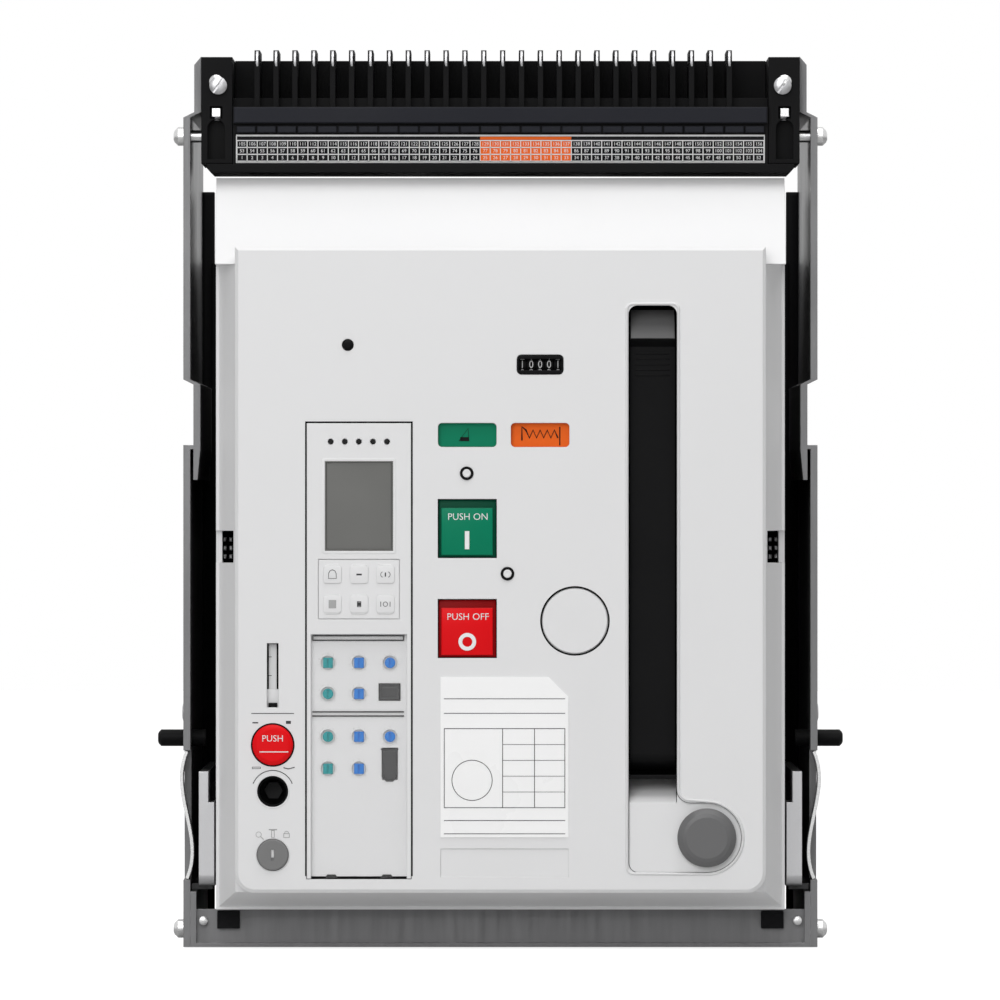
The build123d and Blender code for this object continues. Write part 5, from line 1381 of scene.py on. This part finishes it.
class BREAKER_OT_cradle_details(bpy.types.Operator):
    """Models the rivets, stop blocks, screws and edge seals of the cradle, and the carriers and blades in the
    breaker's side notches
    """

    bl_idname = "breaker.cradle_details"
    bl_label = "Cradle details"

    def execute(self, context):
        plate_low, plate_high = limits("side_plate_right")
        self.rivets(plate_low, plate_high)
        self.stop_blocks()
        self.front_screws()
        self.edge_seals(plate_high[0] - SHEET)
        self.notch_links()
        return {"FINISHED"}

    def rivets(self, plate_low, plate_high):
        height = limits("extension_rails")[1][2] + 28.0
        places = [(y, height) for y in (-96.0, -30.0, 36.0, 96.0)]
        places += [(104.0, z) for z in (plate_low[2] + 36.0, plate_high[2] - 150.0, plate_high[2] - 86.0)]
        y, z = places[0]
        rivets = []
        for side in (-1, 1):
            rivet = disc("rivet", (side * (plate_high[0] + 0.5), y, z), 4.2, 1.2, "x", 24)
            smooth(stepped(rivet, (1.2, 0.4), direction=(side, 0, 0)))
            rivets += repeated(rivet, [(0, back - y, up - z) for back, up in places[1:]])
        dress(join("plate_rivets", rivets), "cradle", "zinc_steel")

    def stop_blocks(self):
        beam = limits("base_pan")[0][1] + 4.0
        stop = block("stop", (-138.0, beam - 3.6, 9.0), (-127.0, beam, 17.6))
        stops = repeated(soften(stepped(stop, (1.2, -0.8)), 0.4, 2), [(265.0, 0, 0)])
        dress(join("stop_blocks", stops), "cradle", "black_moulding")

    def edge_seals(self, plate_inner):
        low, high = limits("insulating_back")
        inner = high[0] - 1.0
        seal = block("seal", (-plate_inner, low[1] + 2, 6.0), (-inner, low[1] + 12, high[2] + 36))
        seals = repeated(soften(stepped(seal, (1.4, 0.8)), 0.3, 2), [(inner + plate_inner, 0, 0)])
        dress(join("edge_seals", seals), "cradle", "black_moulding")

    def notch_links(self):
        base = limits("breaker_base")[0][1]
        carrier = block("carrier", (-137.0, base - 6.0, 186.0), (-129.5, base + 0.5, 203.0))
        carriers = repeated(stepped(carrier, (0.6, -0.6)), [(266.5, 0, 0)])
        dress(join("notch_carriers", carriers), "breaker", "black_moulding")
        inner, pitch, bottom = 131.6, 3.0, 190.2
        left, right = -inner - 0.9, -inner + 0.9
        blade = block("blade", (left, base - 8.0, bottom - 1.2), (right, base - 5.0, bottom + 1.2))
        places = [
            (side * (inner + column * pitch) + inner, 0, row * 4.2)
            for side in (-1, 1)
            for column in (0, 1)
            for row in (0, 1, 2)
        ]
        blades = repeated(stepped(blade, (0.4, 0.4)), places[1:])
        dress(join("notch_blades", blades), "breaker", "zinc_steel")

    def front_screws(self):
        x, front = 144.8, limits("base_pan")[0][1]
        screw = disc("stub", (-x, front + 2.4, 12.8), 2.2, 3.2, sides=24)
        screws = repeated(smooth(stepped(screw, (0.5, 0.35))), [(2 * x, 0, 0)])
        dress(join("front_screws", screws), "cradle", "bright_steel")


class BREAKER_OT_rear_details(bpy.types.Operator):
    """Models the pole numbers and screws of the insulating back"""

    bl_idname = "breaker.rear_details"
    bl_label = "Rear details"

    def execute(self, context):
        low, high = limits("insulating_back")
        face = high[1] - BARRIER_DEPTH
        spread, top, bottom = 120.0, high[2] - 8.0, low[2] + 12.0
        screw = disc("screw", (-spread, face + 0.6, top), 3.6, 1.6, sides=28)
        smooth(stepped(screw, (0.6, 0.5), direction=(0, 1, 0)))
        places = [(column * spread, 0, z - top) for column in (0, 1, 2) for z in (top, bottom)]
        dress(join("back_screws", repeated(screw, places[1:])), "cradle", "zinc_steel")
        figures = []
        for number, x in enumerate((POLE_PITCH, 0.0, -POLE_PITCH), 1):
            figure = lettering(str(number), 14, x, high[2] - 18.0, -face, 0.4)
            figures.append(turned(figure, 180, "Z", (x, 0, 0)))
        dress(join("pole_numbers", figures), "cradle", "black_moulding")
        return {"FINISHED"}


class StageSettings(bpy.types.PropertyGroup):
    """Camera and lamps of the studio."""

    distance: FloatProperty(
        name="Camera distance",
        description="Distance from the camera to the front panel",
        default=6.0,
        min=1.0,
        unit="LENGTH",
    )
    width: FloatProperty(
        name="View width",
        description="Width of the view at the front panel",
        default=0.483,
        min=0.1,
        unit="LENGTH",
    )
    height: FloatProperty(
        name="Camera height",
        description="Height of the camera over the floor",
        default=0.2178,
        unit="LENGTH",
    )
    front_lamp: FloatProperty(
        name="Front lamp",
        description="Power of the large lamp beside the camera",
        default=29.0,
        min=0.0,
        unit="POWER",
    )
    top_lamp: FloatProperty(
        name="Top lamp",
        description="Power of the lamp over the breaker",
        default=16.0,
        min=0.0,
        unit="POWER",
    )


def add_lamp(name, place, aim, size, power):
    """Adds a square area lamp that points at a place."""
    deselect()
    bpy.ops.object.light_add(type="AREA", location=place)
    lamp = added(name)
    lamp.rotation_euler = (Vector(aim) - Vector(place)).to_track_quat("-Z", "Y").to_euler()
    lamp.data.shape = "SQUARE"
    lamp.data.size = size
    lamp.data.energy = power
    return lamp


class BREAKER_OT_stage(bpy.types.Operator):
    """Sets up the pale floor, the lamps, the world and the camera"""

    bl_idname = "breaker.stage"
    bl_label = "Studio"

    def execute(self, context):
        studio = context.scene.breaker_stage
        panel_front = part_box("front_panel")[0].y
        deselect()
        bpy.ops.object.camera_add(
            location=(-0.0002, panel_front - studio.distance, studio.height),
            rotation=(math.pi / 2, 0, 0),
        )
        camera = added("camera")
        camera.data.sensor_width = 36
        camera.data.lens = 36 * studio.distance / studio.width
        camera.data.clip_end = 50
        context.scene.camera = camera
        deselect()
        bpy.ops.mesh.primitive_plane_add(size=12, location=(0, 2, -0.0005))
        floor = added("floor")
        edit(floor)
        bpy.ops.mesh.subdivide(number_cuts=3)
        close_edit()
        settle(floor)
        floor.data.materials.append(self.floor_finish())
        aim = (0, 0, 0.2)
        add_lamp("front_lamp", (-0.6, -2.6, 1.3), aim, 1.6, studio.front_lamp)
        add_lamp("top_lamp", (0.1, -0.5, 1.7), aim, 1.4, studio.top_lamp)
        self.light_world(context.scene)
        context.scene.view_settings.view_transform = "Standard"
        return {"FINISHED"}

    def floor_finish(self):
        pale = (0.7, 0.7, 0.7)
        material = finish("floor_paper", pale, 0.7, grain=60.0, bump=0.0, mottle=0.02, wear=0, dust=0)
        tree = material.node_tree
        shader = tree.nodes["Principled BSDF"]
        output = tree.nodes["Material Output"]
        seen = node(tree, "LightPath")
        lift = node(tree, "Math", {0: seen.outputs["Is Camera Ray"], 1: 0.8}, operation="MULTIPLY")
        glow = node(tree, "Emission", {"Color": (1, 1, 1, 1), "Strength": lift.outputs[0]})
        both = node(tree, "AddShader", {0: shader.outputs[0], 1: glow.outputs[0]})
        tree.links.new(both.outputs[0], output.inputs["Surface"])
        return material

    def light_world(self, scene):
        world = bpy.data.worlds.new("studio_white")
        scene.world = world
        world.use_nodes = True
        tree = world.node_tree
        seen = node(tree, "LightPath")
        first = node(
            tree,
            "Math",
            {0: seen.outputs["Is Camera Ray"], 1: seen.outputs["Is Glossy Ray"]},
            operation="MAXIMUM",
        )
        direct = node(
            tree,
            "Math",
            {0: first.outputs[0], 1: seen.outputs["Is Transmission Ray"]},
            operation="MAXIMUM",
        )
        soft = node(tree, "Background", {"Color": (1, 1, 1, 1), "Strength": 0.24})
        white = node(tree, "Background", {"Color": (1, 1, 1, 1), "Strength": 1.0})
        mixed = node(tree, "MixShader", {0: direct.outputs[0], 1: soft.outputs[0], 2: white.outputs[0]})
        tree.links.new(mixed.outputs[0], tree.nodes["World Output"].inputs["Surface"])


class BREAKER_PT_panel(bpy.types.Panel):
    """Lists the breaker's pieces, colours and studio"""

    bl_idname = "BREAKER_PT_panel"
    bl_label = "Circuit breaker"
    bl_space_type = "VIEW_3D"
    bl_region_type = "UI"
    bl_category = "Breaker"

    def draw(self, context):
        for settings in (getattr(context.scene, name) for name in SETTINGS):
            box = self.layout.box()
            for name in settings.__annotations__:
                box.prop(settings, name)
        for operator in OPERATORS:
            self.layout.operator(operator.bl_idname)


SETTINGS = {
    "breaker_finishes": FinishSettings,
    "breaker_details": DetailSettings,
    "breaker_stage": StageSettings,
}
OPERATORS = (
    BREAKER_OT_finishes,
    BREAKER_OT_push_buttons,
    BREAKER_OT_flags,
    BREAKER_OT_counter,
    BREAKER_OT_face_rings,
    BREAKER_OT_left_column,
    BREAKER_OT_trip_unit,
    BREAKER_OT_dials,
    BREAKER_OT_handle,
    BREAKER_OT_terminal_row,
    BREAKER_OT_cradle_details,
    BREAKER_OT_rear_details,
    BREAKER_OT_stage,
)


def register():
    """Registers the settings, operators and panel."""
    for name, settings in SETTINGS.items():
        bpy.utils.register_class(settings)
        setattr(bpy.types.Scene, name, PointerProperty(type=settings))
    for operator in OPERATORS:
        bpy.utils.register_class(operator)
    bpy.utils.register_class(BREAKER_PT_panel)


def unregister():
    """Removes the panel, operators and settings."""
    bpy.utils.unregister_class(BREAKER_PT_panel)
    for operator in reversed(OPERATORS):
        bpy.utils.unregister_class(operator)
    for name, settings in SETTINGS.items():
        delattr(bpy.types.Scene, name)
        bpy.utils.unregister_class(settings)


def main():
    """Builds every piece."""
    register()
    bpy.ops.breaker.finishes()
    bpy.ops.breaker.push_buttons()
    bpy.ops.breaker.flags()
    bpy.ops.breaker.counter()
    bpy.ops.breaker.face_rings()
    bpy.ops.breaker.left_column()
    bpy.ops.breaker.trip_unit()
    bpy.ops.breaker.dials()
    bpy.ops.breaker.handle()
    bpy.ops.breaker.terminal_row()
    bpy.ops.breaker.cradle_details()
    bpy.ops.breaker.rear_details()
    bpy.ops.breaker.stage()


if __name__ == "__main__":
    main()
